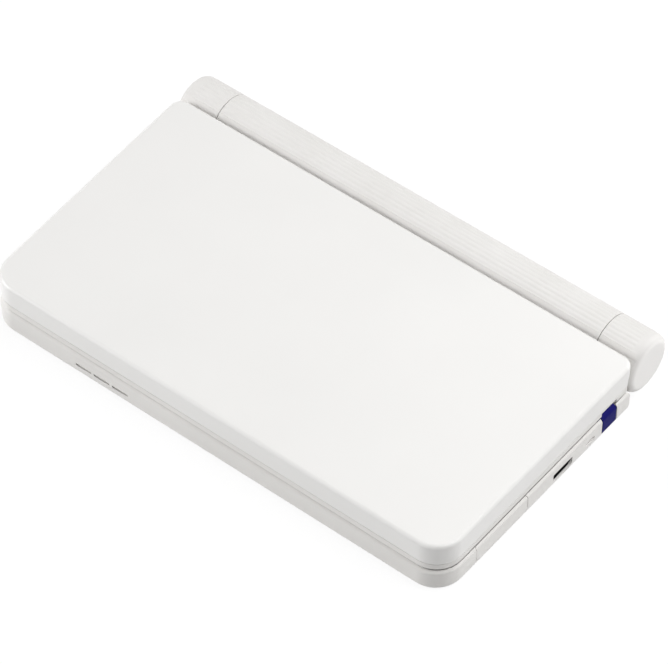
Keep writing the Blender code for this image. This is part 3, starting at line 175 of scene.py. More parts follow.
# the barrel's own white ABS, drier than the case so that its ribs read as fine lines; the flat end faces are
# painted lighter than the ribbed skin: painted light, standing in for the brighter light that they catch
barrelAbs = moulded("dry white ABS", {
    "colour": "#ECEAE8", "shade": "#E7E5E2", "cloudSize": 18.0, "grainSize": 0.4, "grainDepth": 0.006,
    "roughness": (0.48, 0.58), "ends": "#F8F6F4", "endsFrom": (73.4, 73.85),
})
# pale grey ABS of the key deck: matt, so that the white keys stand out
deckAbs = moulded("pale grey ABS", {
    "colour": "#D3D4D5", "shade": "#CDCECF", "cloudSize": 22.0, "grainSize": 0.4, "grainDepth": 0.008,
    "roughness": (0.45, 0.55),
})
# key caps: white polycarbonate, smoother than the deck
keyCap = moulded("satin white polycarbonate", {
    "colour": "#EFEFEE", "shade": "#EAEAE9", "cloudSize": 14.0, "grainSize": 0.35, "grainDepth": 0.003,
    "roughness": (0.34, 0.42), "ior": 1.58,
})
# pad-printed key legends: dark blue-grey ink
legendInk = moulded("slate printing ink", {
    "colour": "#3A414B", "shade": "#343A44", "cloudSize": 3.0, "grainSize": 0.2, "grainDepth": 0.001,
    "roughness": (0.5, 0.6),
})
# navy ABS of the stylus: almost without a shine, so that its head stays a deep blue
stylusAbs = moulded("navy ABS", {
    "colour": "#201F6B", "shade": "#1D1C66", "cloudSize": 9.0, "grainSize": 0.3, "grainDepth": 0.003,
    "roughness": (0.40, 0.50), "shine": 0.02,
})
# grey thermoplastic rubber of the foot strips and the lid's bumpers
footRubber = moulded("grey TPE rubber", {
    "colour": "#7E7E7D", "shade": "#757574", "cloudSize": 6.0, "grainSize": 0.35, "grainDepth": 0.012,
    "roughness": (0.75, 0.88), "ior": 1.45,
})
# the dome mat: translucent grey silicone, seen only through the key gaps
matSilicone = moulded("grey silicone", {
    "colour": "#9A9A9C", "shade": "#909092", "cloudSize": 8.0, "grainSize": 0.4, "grainDepth": 0.004,
    "roughness": (0.55, 0.7), "ior": 1.42,
})
# black PBT of the sockets and the speaker's shell
blackPbt = moulded("black PBT", {
    "colour": "#1E1E1F", "shade": "#19191A", "cloudSize": 6.0, "grainSize": 0.25, "grainDepth": 0.005,
    "roughness": (0.5, 0.62), "ior": 1.55,
})
# glass-fibre board under green solder mask
boardMask = moulded("green solder mask", {
    "colour": "#14532F", "shade": "#1B5E37", "cloudSize": 2.2, "grainSize": 0.6, "grainDepth": 0.01,
    "roughness": (0.35, 0.5), "ior": 1.54,
})
# tin-plated sheet steel of the card socket and the display's tray: grey with a soft sheen
socketSteel = drawnMetal("tin-plated steel", {
    "colour": "#A4A6A9", "shade": "#8F9194", "streak": (0.15, 1.0, 1.0), "streakSize": 0.12, "streakDepth": 0.002,
    "roughness": (0.22, 0.34),
})
# nickel-plated contacts and spring wire: the brightest metal here, a little warm
contactNickel = drawnMetal("nickel plate", {
    "colour": "#D2CFC8", "shade": "#BDBAB2", "streak": (1.0, 0.3, 1.0), "streakSize": 0.15, "streakDepth": 0.001,
    "roughness": (0.18, 0.28),
})
# ground steel of the friction shafts: fine rings round the turned surface
shaftSteel = drawnMetal("ground steel", {
    "colour": "#9C9DA0", "shade": "#86878A", "streak": (1.0, 0.2, 0.2), "streakSize": 0.2, "streakDepth": 0.002,
    "roughness": (0.25, 0.4),
})
# blackened steel of the screws, dark with a dull gleam on the edges; on the data socket's shell its dark colour is
# painted shade, standing in for the shade inside the socket's opening
blackenedSteelAndShade = drawnMetal("blackened steel", {
    "colour": "#3C3D3F", "shade": "#2E2F31", "streak": (0.4, 1.0, 1.0), "streakSize": 0.3, "streakDepth": 0.003,
    "roughness": (0.3, 0.45),
})


def screenGlass(name, look):
    # hardened glass over an unlit liquid-crystal panel: near black, its active field a little greener
    material, tree, place = startMaterial(name)
    parts = addNode(tree, "ShaderNodeSeparateXYZ", {"Vector": place})
    inside = []
    for side, centre, half in zip("XY", look["centre"], look["half"]):
        off = addNode(tree, "ShaderNodeMath", {0: parts.outputs[side], 1: centre * mm}, operation="SUBTRACT")
        far = addNode(tree, "ShaderNodeMath", {0: off.outputs[0]}, operation="ABSOLUTE")
        inside.append(addNode(tree, "ShaderNodeMath", {0: far.outputs[0], 1: half * mm}, operation="LESS_THAN"))
    field = addNode(tree, "ShaderNodeMath", {0: inside[0].outputs[0], 1: inside[1].outputs[0]}, operation="MULTIPLY")
    colour = addNode(tree, "ShaderNodeMix", {
        0: field.outputs[0], 6: linear(look["border"]), 7: linear(look["field"]),
    }, data_type="RGBA")
    smears = addNode(tree, "ShaderNodeTexNoise", {
        "Vector": place, "Scale": 1 / (look["smearSize"] * mm), "Detail": 4.0,
    })
    low, high = look["roughness"]
    rough = addNode(tree, "ShaderNodeMapRange", {
        "Value": smears.outputs["Fac"], "To Min": low, "To Max": high, **usualNoise,
    })
    shader = addNode(tree, "ShaderNodeBsdfPrincipled", {
        "Base Color": colour.outputs[2], "Roughness": rough.outputs["Result"], "IOR": 1.52, "Coat Weight": 0.4,
    })
    addNode(tree, "ShaderNodeOutputMaterial", {"Surface": shader.outputs["BSDF"]})
    return material


def cellSleeve(name, look):
    # a cell in a shrunk plastic sleeve, left plain, with bare steel at both ends
    material, tree, place = startMaterial(name)
    x = addNode(tree, "ShaderNodeSeparateXYZ", {"Vector": place}).outputs["X"]
    start, length = look["start"], look["length"]
    share = addNode(tree, "ShaderNodeMapRange", {
        "Value": x, "From Min": start * mm, "From Max": (start + length) * mm,
    })
    tint = addNode(tree, "ShaderNodeValToRGB", {"Fac": share.outputs["Result"]})
    metal = addNode(tree, "ShaderNodeValToRGB", {"Fac": share.outputs["Result"]})
    steps = zip(look["steps"], ("steel", "sleeve", "band", "steel"))
    for node in (tint, metal):
        node.color_ramp.interpolation = "CONSTANT"
        while len(node.color_ramp.elements) < len(look["steps"]):
            node.color_ramp.elements.new(1.0)
    for element, bare, (at, key) in zip(tint.color_ramp.elements, metal.color_ramp.elements, steps):
        element.position = bare.position = at
        element.color = linear(look[key])
        bare.color = (1.0, 1.0, 1.0, 1.0) if key == "steel" else (0.0, 0.0, 0.0, 1.0)
    scuffs = addNode(tree, "ShaderNodeTexNoise", {
        "Vector": place, "Scale": 1 / (look["scuffSize"] * mm), "Detail": 4.0,
    })
    low, high = look["roughness"]
    rough = addNode(tree, "ShaderNodeMapRange", {
        "Value": scuffs.outputs["Fac"], "To Min": low, "To Max": high, **usualNoise,
    })
    shader = addNode(tree, "ShaderNodeBsdfPrincipled", {
        "Base Color": tint.outputs["Color"], "Metallic": metal.outputs["Color"], "Roughness": rough.outputs["Result"],
    })
    addNode(tree, "ShaderNodeOutputMaterial", {"Surface": shader.outputs["BSDF"]})
    return material


# the glass shows a faint panel behind it and catches soft reflections
panelGlass = screenGlass("unlit panel glass", {
    "centre": (0.0, -8.45), "half": (54.5, 28.5), "border": "#0B0C0D", "field": "#262B2B",
    "smearSize": 11.0, "roughness": (0.05, 0.11),
})
# satin film on the cells: grey with a paler band at one end
sleeve = {
    "sleeve": "#3B3F45", "band": "#A9ADB2", "steel": "#B9BABC", "steps": (0.0, 0.012, 0.72, 0.955), "length": 50.5,
    "scuffSize": 1.5, "roughness": (0.22, 0.34),
}
rightSleeve = cellSleeve("steel and sleeve, right", {"start": 3.2, **sleeve})
leftSleeve = cellSleeve("steel and sleeve, left", {"start": -47.6, **sleeve})

# mesh helpers


def sideHalf(y):
    return case["halfWidth"] - case["flare"] * (case["rear"] - y) / (case["rear"] - case["front"])


def planCorners(inset, front, rear):
    frontHalf, rearHalf = sideHalf(front) - inset, sideHalf(rear) - inset
    return [(-frontHalf, front), (frontHalf, front), (rearHalf, rear), (-rearHalf, rear)]


def boxCorners(width, depth, centre):
    x, y = centre
    right, back = width / 2, depth / 2
    return [(x - right, y - back), (x + right, y - back), (x + right, y + back), (x - right, y + back)]


def slab(corners, radii, low, high, segments=10):
    # an upright plate on a few corner points, each upright edge rounded by its own radius
    bm = bmesh.new()
    face = bm.faces.new([bm.verts.new((x * mm, y * mm, low * mm)) for x, y in corners])
    grown = bmesh.ops.extrude_face_region(bm, geom=[face])
    top = [v for v in grown["geom"] if isinstance(v, bmesh.types.BMVert)]
    bmesh.ops.translate(bm, vec=(0, 0, (high - low) * mm), verts=top)
    bmesh.ops.recalc_face_normals(bm, faces=bm.faces[:])
    for (x, y), radius in zip(corners, radii):
        upright = [e for e in bm.edges if all((v.co.xy - Vector((x * mm, y * mm))).length < tiny for v in e.verts)]
        bmesh.ops.bevel(
            bm, geom=upright, offset=radius * mm, offset_type="OFFSET", segments=segments,
            profile=0.5, affect="EDGES", material=-1,
        )
    return bm


def roundRim(bm, level, radius, segments=4, profile=0.5):
    rim = [e for e in bm.edges if all(abs(v.co.z - level * mm) < tiny for v in e.verts)]
    bmesh.ops.bevel(
        bm, geom=rim, offset=radius * mm, offset_type="OFFSET", segments=segments,
        profile=profile, affect="EDGES", material=-1,
    )
    return bm


def block(low, high):
    bm = bmesh.new()
    bmesh.ops.create_cube(bm, size=1)
    bmesh.ops.scale(bm, vec=[(b - a) * mm for a, b in zip(low, high)], verts=bm.verts[:])
    bmesh.ops.translate(bm, vec=[(a + b) / 2 * mm for a, b in zip(low, high)], verts=bm.verts[:])
    return bm


def drum(radius, low, high, centre, segments=32):
    bm = bmesh.new()
    bmesh.ops.create_cone(
        bm, cap_ends=True, segments=segments, radius1=radius * mm, radius2=radius * mm, depth=(high - low) * mm
    )
    bmesh.ops.translate(bm, vec=(centre[0] * mm, centre[1] * mm, (low + high) / 2 * mm), verts=bm.verts[:])
    return bm


def layAlongX(bm):
    # plan x becomes y, plan y becomes z and height becomes x
    turn = Matrix(((0, 0, 1), (1, 0, 0), (0, 1, 0))).to_4x4()
    bmesh.ops.transform(bm, matrix=turn, verts=bm.verts[:])
    return bm


def roller(radius, low, high, centre=(axis["y"], axis["z"]), segments=96):
    return layAlongX(drum(radius, low, high, centre, segments))


def sideBlock(lowY, highY, lowZ, highZ, depth, side=1):
    # reaches in by depth from the flared side face, and out past it
    out = 1.0
    corners = [
        (sideHalf(lowY) - depth, lowY), (sideHalf(lowY) + out, lowY),
        (sideHalf(highY) + out, highY), (sideHalf(highY) - depth, highY),
    ]
    bm = slab(corners, [], lowZ, highZ)
    if side < 0:
        bmesh.ops.scale(bm, vec=(-1, 1, 1), verts=bm.verts[:])
    return bm


def meshOf(name, bm):
    bmesh.ops.remove_doubles(bm, verts=bm.verts[:], dist=tiny)
    bmesh.ops.recalc_face_normals(bm, faces=bm.faces[:])
    mesh = bpy.data.meshes.new(name)
    bm.to_mesh(mesh)
    bm.free()
    return mesh


def link(name, data):
    obj = bpy.data.objects.new(name, data)
    bpy.context.scene.collection.objects.link(obj)
    return obj


def bakedMesh(obj):
    bpy.context.view_layer.update()
    graph = bpy.context.evaluated_depsgraph_get()
    return bpy.data.meshes.new_from_object(obj.evaluated_get(graph))


def carve(bm, tools, operation="DIFFERENCE"):
    target = link("carved", meshOf("carved", bm))
    helpers = []
    for tool in tools:
        helper = link("tool", meshOf("tool", tool))
        modifier = target.modifiers.new("carve", "BOOLEAN")
        modifier.operation = operation
        modifier.solver = "EXACT"
        modifier.object = helper
        helpers.append(helper)
    mesh = bakedMesh(target)
    for obj in helpers + [target]:
        bpy.data.objects.remove(obj)
    result = bmesh.new()
    result.from_mesh(mesh)
    return result


def addPiece(name, bm, material, body, stands=(), edge=0.0, sharp=32):
    # edge is the small radius left on every corner that the steps above cut sharp
    obj = link(name, meshOf(name, bm))
    obj.data.materials.clear()
    obj.data.materials.append(material)
    if edge:
        bevel = obj.modifiers.new("edge", "BEVEL")
        bevel.width = edge * mm
        bevel.segments = 2
        bevel.limit_method = "ANGLE"
        bevel.angle_limit = math.radians(sharp)
        bevel.miter_outer = "MITER_ARC"
        mesh = bakedMesh(obj)
        obj.modifiers.clear()
        obj.data = mesh
    obj.data.shade_smooth()
    obj.data.set_sharp_from_angle(angle=math.radians(sharp))
    weighted = obj.modifiers.new("even shading", "WEIGHTED_NORMAL")
    weighted.keep_sharp = True
    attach(obj, body)
    if stands:
        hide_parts(*stands)
    return obj


def caseForm():
    bm = slab(planCorners(0, case["front"], case["rear"]),
              [case["frontCorner"]] * 2 + [case["rearCorner"]] * 2, case["low"], case["top"])
    roundRim(bm, case["low"], case["bottomRound"], 5)
    return roundRim(bm, case["top"], case["rimChamfer"], 3, case["chamferProfile"])


# the lid: a pressed shell over a moulded frame that holds the screen

lid = {
    "inset": 0.4, "front": -45.95, "rear": 32.05, "frontCorner": 7.6, "rearCorner": 3.5,
    "shellLow": 10.67, "top": 17.5, "topRound": 1.1, "wall": 1.9, "ceiling": 15.9, "insideRear": 27.05,
    "hollow": 0.7, "neckX": (62.0, 72.2), "neckFront": 21.7, "neckTop": 15.9,
    "frameLow": 8.5, "frameTop": 10.53, "frameRound": 0.35, "bumper": (59.6, -40.95), "bumperSize": (1.6, 0.2),
    "bumperRound": 0.08, "screenY": -8.45, "window": (114.0, 62.0), "ledge": (118.6, 66.6), "ledgeLow": 9.3,
    "windowCorner": 1.0, "insideRadii": (6.0, 6.0, 1.5, 1.5), "notch": 1.4, "notchDepth": 1.4, "edge": 0.1,
}


def lidForm(low, high):
    radii = [lid["frontCorner"]] * 2 + [lid["rearCorner"]] * 2
    return slab(planCorners(lid["inset"], lid["front"], lid["rear"]), radii, low, high)


def makeLidShell():
    bm = roundRim(lidForm(lid["shellLow"], lid["top"]), lid["top"], lid["topRound"], 7)
    inset = lid["inset"] + lid["wall"]
    inside = slab(planCorners(inset, lid["front"] + lid["wall"], lid["insideRear"]), lid["insideRadii"],
                  lid["shellLow"] - past, lid["ceiling"], 6)
    low, high = lid["neckX"]
    gates = [
        block((a, lid["neckFront"], lid["shellLow"] - past), (b, axis["y"], lid["neckTop"]))
        for a, b in ((low, high), (-high, -low))
    ]
    bm = carve(bm, [inside, roller(axis["radius"] + lid["hollow"], -span, span)] + gates)
    addPiece("lidShell", bm, lidLacquer, "lid", ("lid_cover",), lid["edge"])


def makeLidFrame():
    bm = roundRim(lidForm(lid["frameLow"], lid["frameTop"]), lid["frameLow"], lid["frameRound"], 3)
    centre = (0, lid["screenY"])
    low, high = lid["frameLow"] - past, lid["frameTop"] + past
    radii = [lid["windowCorner"]] * 4
    window = slab(boxCorners(*lid["window"], centre), radii, low, high, 4)
    ledge = slab(boxCorners(*lid["ledge"], centre), radii, lid["ledgeLow"], high, 4)
    notch = sideBlock(*siloY, low, lid["frameLow"] + lid["notch"], lid["notchDepth"])
    bm = carve(bm, [window, ledge, roller(axis["radius"] + lid["hollow"], -span, span), notch])
    addPiece("lidFrame", bm, caseAbs, "lid", ("lid_frame",), lid["edge"])


def makeBumpers():
    # two rubber dots keep the closed screen frame off the key deck
    x, y = lid["bumper"]
    radius, height = lid["bumperSize"]
    for name, side in (("left", -1), ("right", 1)):
        low = lid["frameLow"] - height
        bm = roundRim(drum(radius, low, lid["frameLow"], (side * x, y)), low, lid["bumperRound"], 3)
        addPiece(f"{name}Bumper", bm, footRubber, "lid")


makeLidShell()
makeLidFrame()
makeBumpers()
print("lid ready")

# the base: floor pan, side openings, foot recesses and screw seats

base = {
    "footY": (-37.35, 22.55), "footSize": (96.6, 5.6), "footCorner": 2.6, "footSeat": 1.0,
    "gateX": 59.8, "gateLow": 5.8, "gateRear": 33, "silo": (1.8, 9, 3.0),
    "slotX": (-40.6, -34.6, -28.6), "slotLength": 5.2, "slotZ": 4.2, "slotHeight": 0.8, "slotCorner": 0.35,
    "slotY": (43, 60), "doorY": (-32.45, -12.45), "doorLow": 2.5, "doorDepth": 1.5, "doorGap": 0.3, "doorCorner": 1.0,
    "cardY": -22.45, "cardSlot": (11.4, 0.8), "cardZ": 3.4, "cardX": (68, 71.4),
    "eyeletY": 13.55, "eyelet": (3.5, 1.2), "eyeletZ": 4.2, "eyeletDepth": 3.0, "eyeletCorner": 0.45,
    "jackY": 18.55, "jackZ": 3.9, "jackRadius": 1.8, "jackX": -70,
    "screws": ((-65.63, -39.35), (65.63, -39.35), (-66.9, 26.27), (66.9, 26.27)),
    "screwSeat": 2.1, "screwSeatTop": 1.15, "edge": 0.12,
}
door = {"seam": 0.17, "thickness": 1.2, "edge": 0.08}
socket = {
    "y": 2.15, "z": 3.9, "width": 7.5, "height": 2.7, "corner": 0.8, "soft": 0.3, "wall": 0.22, "x": (67.53, 72.93),
    "back": 0.8, "holeFrom": 66, "edge": 0.05,
    "tongueEnds": (0.7, 0.9), "tongueHalf": 1.85, "tongueHigh": 0.6, "tongueEdge": 0.08,
    "contacts": 5, "contactPitch": 0.65, "contactHalf": 0.16, "contactEnds": 1.2, "contactZ": (-0.05, 0.02),
    "contactEdge": 0.02,
}
foot = {"size": (96, 5), "corner": 2.4, "high": 0.7, "round": 0.3}
screw = {"radius": 1.9, "low": 0.62, "round": 0.2, "cross": (0.95, 0.17), "crossTop": 0.95, "edge": 0.04}


def socketForm(grow, low, high):
    half, drop = socket["width"] / 2 + grow, socket["height"] / 2 + grow
    y, z, cut = socket["y"], socket["z"], socket["corner"]
    corners = [
        (y - half + cut, z - drop), (y + half - cut, z - drop), (y + half, z - drop + cut),
        (y + half, z + drop), (y - half, z + drop), (y - half, z - drop + cut),
    ]
    soft = socket["soft"] + grow / 2
    return layAlongX(slab(corners, [soft] * 6, low, high, 3))


def doorForm(grow, depth):
    # the card door's rounded outline, from depth inside the side's face to past it
    low, high = base["doorY"]
    foot, head = base["doorLow"] - grow, case["top"] + grow
    corners = [(low - grow, foot), (high + grow, foot), (high + grow, head), (low - grow, head)]
    bm = layAlongX(slab(corners, [base["doorCorner"] + grow] * 4, -depth, past, 5))
    slope = case["flare"] / (case["rear"] - case["front"])
    lean = Matrix(((1, slope, 0), (0, 1, 0), (0, 0, 1))).to_4x4()
    bmesh.ops.transform(bm, matrix=lean, verts=bm.verts[:])
    bmesh.ops.translate(bm, vec=(sideHalf(0) * mm, 0, 0), verts=bm.verts[:])
    return bm


def grooveForm():
    # the fine groove that stays open between the side walls' rim and the key deck's
    sideSeat, frontSeat = case["seat"]
    width, rear = case["groove"], case["grooveRear"]
    outerRadii, innerRadii = case["grooveRadii"]
    outer = slab(planCorners(sideSeat, case["front"] + frontSeat, rear), outerRadii,
                 case["grooveLow"], case["top"] + past, 8)
    inner = slab(planCorners(sideSeat + width, case["front"] + frontSeat + width, rear + past), innerRadii,
                 case["grooveLow"] - past, case["top"] + 2 * past, 8)
    return carve(outer, [inner])


def makeBase():
    top = case["top"] + past
    inside = slab(planCorners(case["wall"], case["front"] + case["wall"], case["insideRear"]), case["insideRadii"],
                  case["floor"], top, 6)
    sideSeat, frontSeat = case["seat"]
    deckSeat = slab(planCorners(sideSeat, case["front"] + frontSeat, case["insideRear"] + gap), case["seatRadii"],
                    case["seatLow"], top, 8)
    tools = [inside, deckSeat, grooveForm(), roller(axis["radius"] + case["saddle"], -span, span)]
    tools.append(block((-base["gateX"], case["insideRear"] - past, base["gateLow"]),
                       (base["gateX"], base["gateRear"], top)))
    for y in base["footY"]:
        corners = boxCorners(*base["footSize"], (0, y))
        tools.append(slab(corners, [base["footCorner"]] * 4, -past, base["footSeat"], 8))
    for x, y in base["screws"]:
        tools.append(drum(base["screwSeat"], -past, base["screwSeatTop"], (x, y)))
    tools.append(doorForm(base["doorGap"], base["doorDepth"]))
    width, height = base["cardSlot"]
    inner, outer = base["cardX"]
    tools.append(block((inner, base["cardY"] - width / 2, base["cardZ"] - height / 2),
                       (outer, base["cardY"] + width / 2, base["cardZ"] + height / 2)))
    tools.append(socketForm(gap / 2, socket["holeFrom"], span))
    tools.append(sideBlock(*siloY, *base["silo"]))
    length, height = base["eyelet"]
    eyelet = slab(boxCorners(length, height, (base["eyeletY"], base["eyeletZ"])), [base["eyeletCorner"]] * 4,
                  sideHalf(base["eyeletY"]) - base["eyeletDepth"], span, 4)
    tools.append(layAlongX(eyelet))
    tools.append(roller(base["jackRadius"], -span, base["jackX"], (base["jackY"], base["jackZ"]), 48))
    for x in base["slotX"]:
        corners = boxCorners(base["slotLength"], base["slotHeight"], (x, base["slotZ"]))
        slit = slab(corners, [base["slotCorner"]] * 4, *base["slotY"], 4)
        bmesh.ops.rotate(slit, matrix=Matrix.Rotation(math.radians(90), 3, "X"), verts=slit.verts[:])
        tools.append(slit)
    bm = carve(caseForm(), tools)
    addPiece("baseCase", bm, caseAbs, "base", ("base_case",), base["edge"])


def makeDoor():
    # the card slot's door carries on the case's side; its seams are finer than the solids' clearance
    bm = carve(carve(caseForm(), [doorForm(door["seam"], door["thickness"])], "INTERSECT"), [grooveForm()])
    addPiece("cardDoor", bm, caseAbs, "card_cover", ("card_slot_cover",), door["edge"])


def makeSocket():
    low, high = socket["x"]
    y, z = socket["y"], socket["z"]
    bm = carve(socketForm(0, low, high), [socketForm(-socket["wall"], low + socket["back"], high + past)])
    # painted shade: the data socket's shell is given the dark steel, standing in for the shade inside its opening
    addPiece("socketShell", bm, blackenedSteelAndShade, "base", ("usb_socket",), socket["edge"])
    near, far = socket["tongueEnds"]
    half = socket["tongueHalf"]
    tongue = block((low + near, y - half, z), (high - far, y + half, z + socket["tongueHigh"]))
    addPiece("socketTongue", tongue, blackPbt, "base", (), socket["tongueEdge"])
    inset, half = socket["contactEnds"], socket["contactHalf"]
    under, over = socket["contactZ"]
    for index in range(socket["contacts"]):
        middle = y + (index - (socket["contacts"] - 1) / 2) * socket["contactPitch"]
        strip = block((low + inset, middle - half, z + under), (high - inset, middle + half, z + over))
        addPiece(f"socketContact{index + 1}", strip, contactNickel, "base", (), socket["contactEdge"])


def makeFeet():
    for name, y in zip(("front", "rear"), base["footY"]):
        bm = slab(boxCorners(*foot["size"], (0, y)), [foot["corner"]] * 4, 0, foot["high"], 8)
        roundRim(bm, 0, foot["round"], 3)
        addPiece(f"{name}Foot", bm, footRubber, "base", (f"{name}_foot_strip",))


def makeScrews():
    long, short = screw["cross"]
    for index, (x, y) in enumerate(base["screws"]):
        head = drum(screw["radius"], screw["low"], base["screwSeatTop"], (x, y))
        roundRim(head, screw["low"], screw["round"], 3)
        cross = [block((x - a, y - b, 0), (x + a, y + b, screw["crossTop"])) for a, b in ((long, short), (short, long))]
        bm = carve(head, cross)
        addPiece(f"screw{index + 1}", bm, blackenedSteelAndShade, "base", (), screw["edge"])


makeBase()
makeDoor()
makeSocket()
makeFeet()
makeScrews()
print("base ready")

# the stylus: a flat pen whose head closes the case's side

stylus = {
    "y": 21.45, "z": 3.5, "head": (5.6, 2.1, 1.8), "shaft": (4.4, 3.0, 1.2), "x": (-11.2, 72.6),
    "tip": -18.2, "tipShare": 0.27, "edge": 0.15,
}


def makeStylus():
    width, foot, depth = stylus["head"]
    cutter = sideBlock(stylus["y"] - width / 2, stylus["y"] + width / 2, foot, case["top"] + past, depth)
    head = carve(caseForm(), [cutter], "INTERSECT")
    wide, thick, corner = stylus["shaft"]
    shaft = slab(boxCorners(wide, thick, (stylus["y"], stylus["z"])), [corner] * 4, *stylus["x"], 5)
    end = [f for f in shaft.faces if all(abs(v.co.z - stylus["x"][0] * mm) < tiny for v in f.verts)]
    grown = bmesh.ops.extrude_face_region(shaft, geom=end)
    bmesh.ops.delete(shaft, geom=end, context="FACES_ONLY")
    verts = [v for v in grown["geom"] if isinstance(v, bmesh.types.BMVert)]
    bmesh.ops.translate(shaft, vec=(0, 0, (stylus["tip"] - stylus["x"][0]) * mm), verts=verts)
    middle = Matrix.Translation((-stylus["y"] * mm, -stylus["z"] * mm, 0))
    bmesh.ops.scale(shaft, vec=(stylus["tipShare"], stylus["tipShare"], 1), space=middle, verts=verts)
    bm = carve(head, [layAlongX(shaft)], "UNION")
    addPiece("stylusPen", bm, stylusAbs, "stylus", ("stylus",), stylus["edge"])


makeStylus()
print("stylus ready")

# the barrel: fixed centre with the cells, and an end knuckle on each side that turns with the lid

barrel = {
    "ribs": 40, "pointsPerRib": 10, "ribDepth": 0.12, "ribSharpness": 3,
    "channel": ((118.6, 0.0), (119.2, 0.1), (131.5, 0.53), (139.0, 0.35), (210.5, 0.35), (212.0, 0.0)),
    "centreHalf": 61.27, "seam": 61.5, "plainFrom": 70.9, "end": 73.9, "endRound": 2.1,
    "bayHalf": 54.7, "bay": 7.55, "opening": (212.0, 388.0), "edge": 0.1, "edgeShare": 0.2, "fade": 0.4,
    "shelf": ((-59.5, 24.4, 6.1), (59.5, 31.0, 7.8)), "bore": 2.8, "wedgeReach": 3, "wedgeSteps": 10,
    "neck": ((62.3, 22.0, 11.05), (71.9, 31.5, 15.6)), "hollow": (4.8, 60, 70.5), "endSteps": 10,
}
cover = {"slack": 0.12, "lip": 0.9, "ridges": (288, 300, 312), "ridgeHalf": (6, 0.4), "ridgeRise": (-0.4, 0.35)}



def channelDepth(degrees):
    # a slope that falls towards the lid, then a shallow floor down to the battery cover's edge
    for (first, start), (last, stop) in zip(barrel["channel"], barrel["channel"][1:]):
        if first <= degrees < last:
            return start + (stop - start) * (degrees - first) / (last - first)
    return 0.0


def skinRadius(degrees, radius, ribShare):
    depth = channelDepth(degrees % 360)
    if depth:
        return min(radius, axis["radius"] - depth)
    wave = abs(math.cos(math.radians(degrees * barrel["ribs"] / 2)))
    return radius - ribShare * barrel["ribDepth"] * wave ** barrel["ribSharpness"]


def barrelSkin(stations):
    # stations are (x, radius, share of the rib depth)
    bm = bmesh.new()
    count = barrel["ribs"] * barrel["pointsPerRib"]
    bmesh.ops.create_circle(bm, cap_ends=False, segments=count, radius=1)
    bm.verts.ensure_lookup_table()
    turns = [math.degrees(math.atan2(v.co.y, v.co.x)) % 360 for v in bm.verts]
    loop, edges = bm.verts[:], bm.edges[:]
    for index, (x, radius, ribShare) in enumerate(stations):
        if index:
            pairs = {v: turn for v, turn in zip(loop, turns)}
            grown = bmesh.ops.extrude_edge_only(bm, edges=edges)["geom"]
            loop = [v for v in grown if isinstance(v, bmesh.types.BMVert)]
            edges = [e for e in grown if isinstance(e, bmesh.types.BMEdge)]
            turns = [next(pairs[e.other_vert(v)] for e in v.link_edges if e.other_vert(v) in pairs) for v in loop]
        else:
            bmesh.ops.edgeloop_fill(bm, edges=edges)
        for v, turn in zip(loop, turns):
            r = skinRadius(turn, radius, ribShare)
            angle = math.radians(turn)
            v.co = (x * mm, (axis["y"] + r * math.cos(angle)) * mm, (axis["z"] + r * math.sin(angle)) * mm)
    bmesh.ops.edgeloop_fill(bm, edges=edges)
    return bm


def wedge(first, last):
    reach = axis["radius"] + barrel["wedgeReach"]
    steps = barrel["wedgeSteps"]
    corners = [(axis["y"], axis["z"])]
    for index in range(steps + 1):
        angle = math.radians(first + (last - first) * index / steps)
        corners.append((axis["y"] + reach * math.cos(angle), axis["z"] + reach * math.sin(angle)))
    return corners


def makeBarrel():
    half = barrel["centreHalf"]
    full = axis["radius"]
    trim, share = barrel["edge"], barrel["edgeShare"]
    skin = barrelSkin([(-half, full - trim, share), (-half + trim, full, 1),
                       (half - trim, full, 1), (half, full - trim, share)])
    bm = carve(skin, [block(*barrel["shelf"])], "UNION")
    bay = roller(barrel["bay"], -barrel["bayHalf"], barrel["bayHalf"])
    mouth = layAlongX(slab(wedge(*barrel["opening"]), [], -barrel["bayHalf"], barrel["bayHalf"]))
    bores = roller(barrel["bore"], -half - past, half + past, segments=32)
    bm = carve(bm, [bay, mouth, bores])
    addPiece("batteryBarrel", bm, barrelAbs, "base", ("battery_barrel",))


def makeBatteryCover():
    half = barrel["bayHalf"] - cover["slack"]
    full = axis["radius"]
    skin = barrelSkin([(-half, full, 1), (half, full, 1)])
    skin = carve(skin, [roller(barrel["bay"], -half - past, half + past)])
    low, high = barrel["opening"]
    piece = layAlongX(slab(wedge(low + cover["lip"], high - cover["lip"]), [], -half - past, half + past))
    bm = carve(skin, [piece], "INTERSECT")
    reach, thick = cover["ridgeHalf"]
    sunk, raised = cover["ridgeRise"]
    ridges = []
    for degrees in cover["ridges"]:
        ridge = block((-reach, full + sunk, -thick), (reach, full + raised, thick))
        turn = Matrix.Translation((0, axis["y"] * mm, axis["z"] * mm)) @ Matrix.Rotation(math.radians(degrees), 4, "X")
        bmesh.ops.transform(ridge, matrix=turn, verts=ridge.verts[:])
        ridges.append(ridge)
    bm = carve(bm, ridges, "UNION")
    addPiece("batteryCover", bm, barrelAbs, "battery_cover", ("battery_cover",))


def makeKnuckle(name, side):
    full = axis["radius"]
    trim, share = barrel["edge"], barrel["edgeShare"]
    plain, end, edge = barrel["plainFrom"], barrel["end"], barrel["endRound"]
    cap = full - barrel["ribDepth"] / 2
    stations = [(barrel["seam"], full - trim, share), (barrel["seam"] + trim, full, 1),
                (plain - barrel["fade"], full, 1), (plain, cap, 0)]
    for step in range(barrel["endSteps"] + 1):
        angle = math.radians(90 * step / barrel["endSteps"])
        stations.append((end - edge + edge * math.sin(angle), cap - edge + edge * math.cos(angle), 0))
    skin = barrelSkin(stations)
    bm = carve(skin, [block(*barrel["neck"])], "UNION")
    bm = carve(bm, [roller(*barrel["hollow"], segments=48)])
    if side < 0:
        bmesh.ops.scale(bm, vec=(-1, 1, 1), verts=bm.verts[:])
    addPiece(f"{name}Knuckle", bm, barrelAbs, "lid", (f"hinge_knuckle_{name}",))


makeBarrel()
makeBatteryCover()
makeKnuckle("right", 1)
makeKnuckle("left", -1)
print("barrel ready")

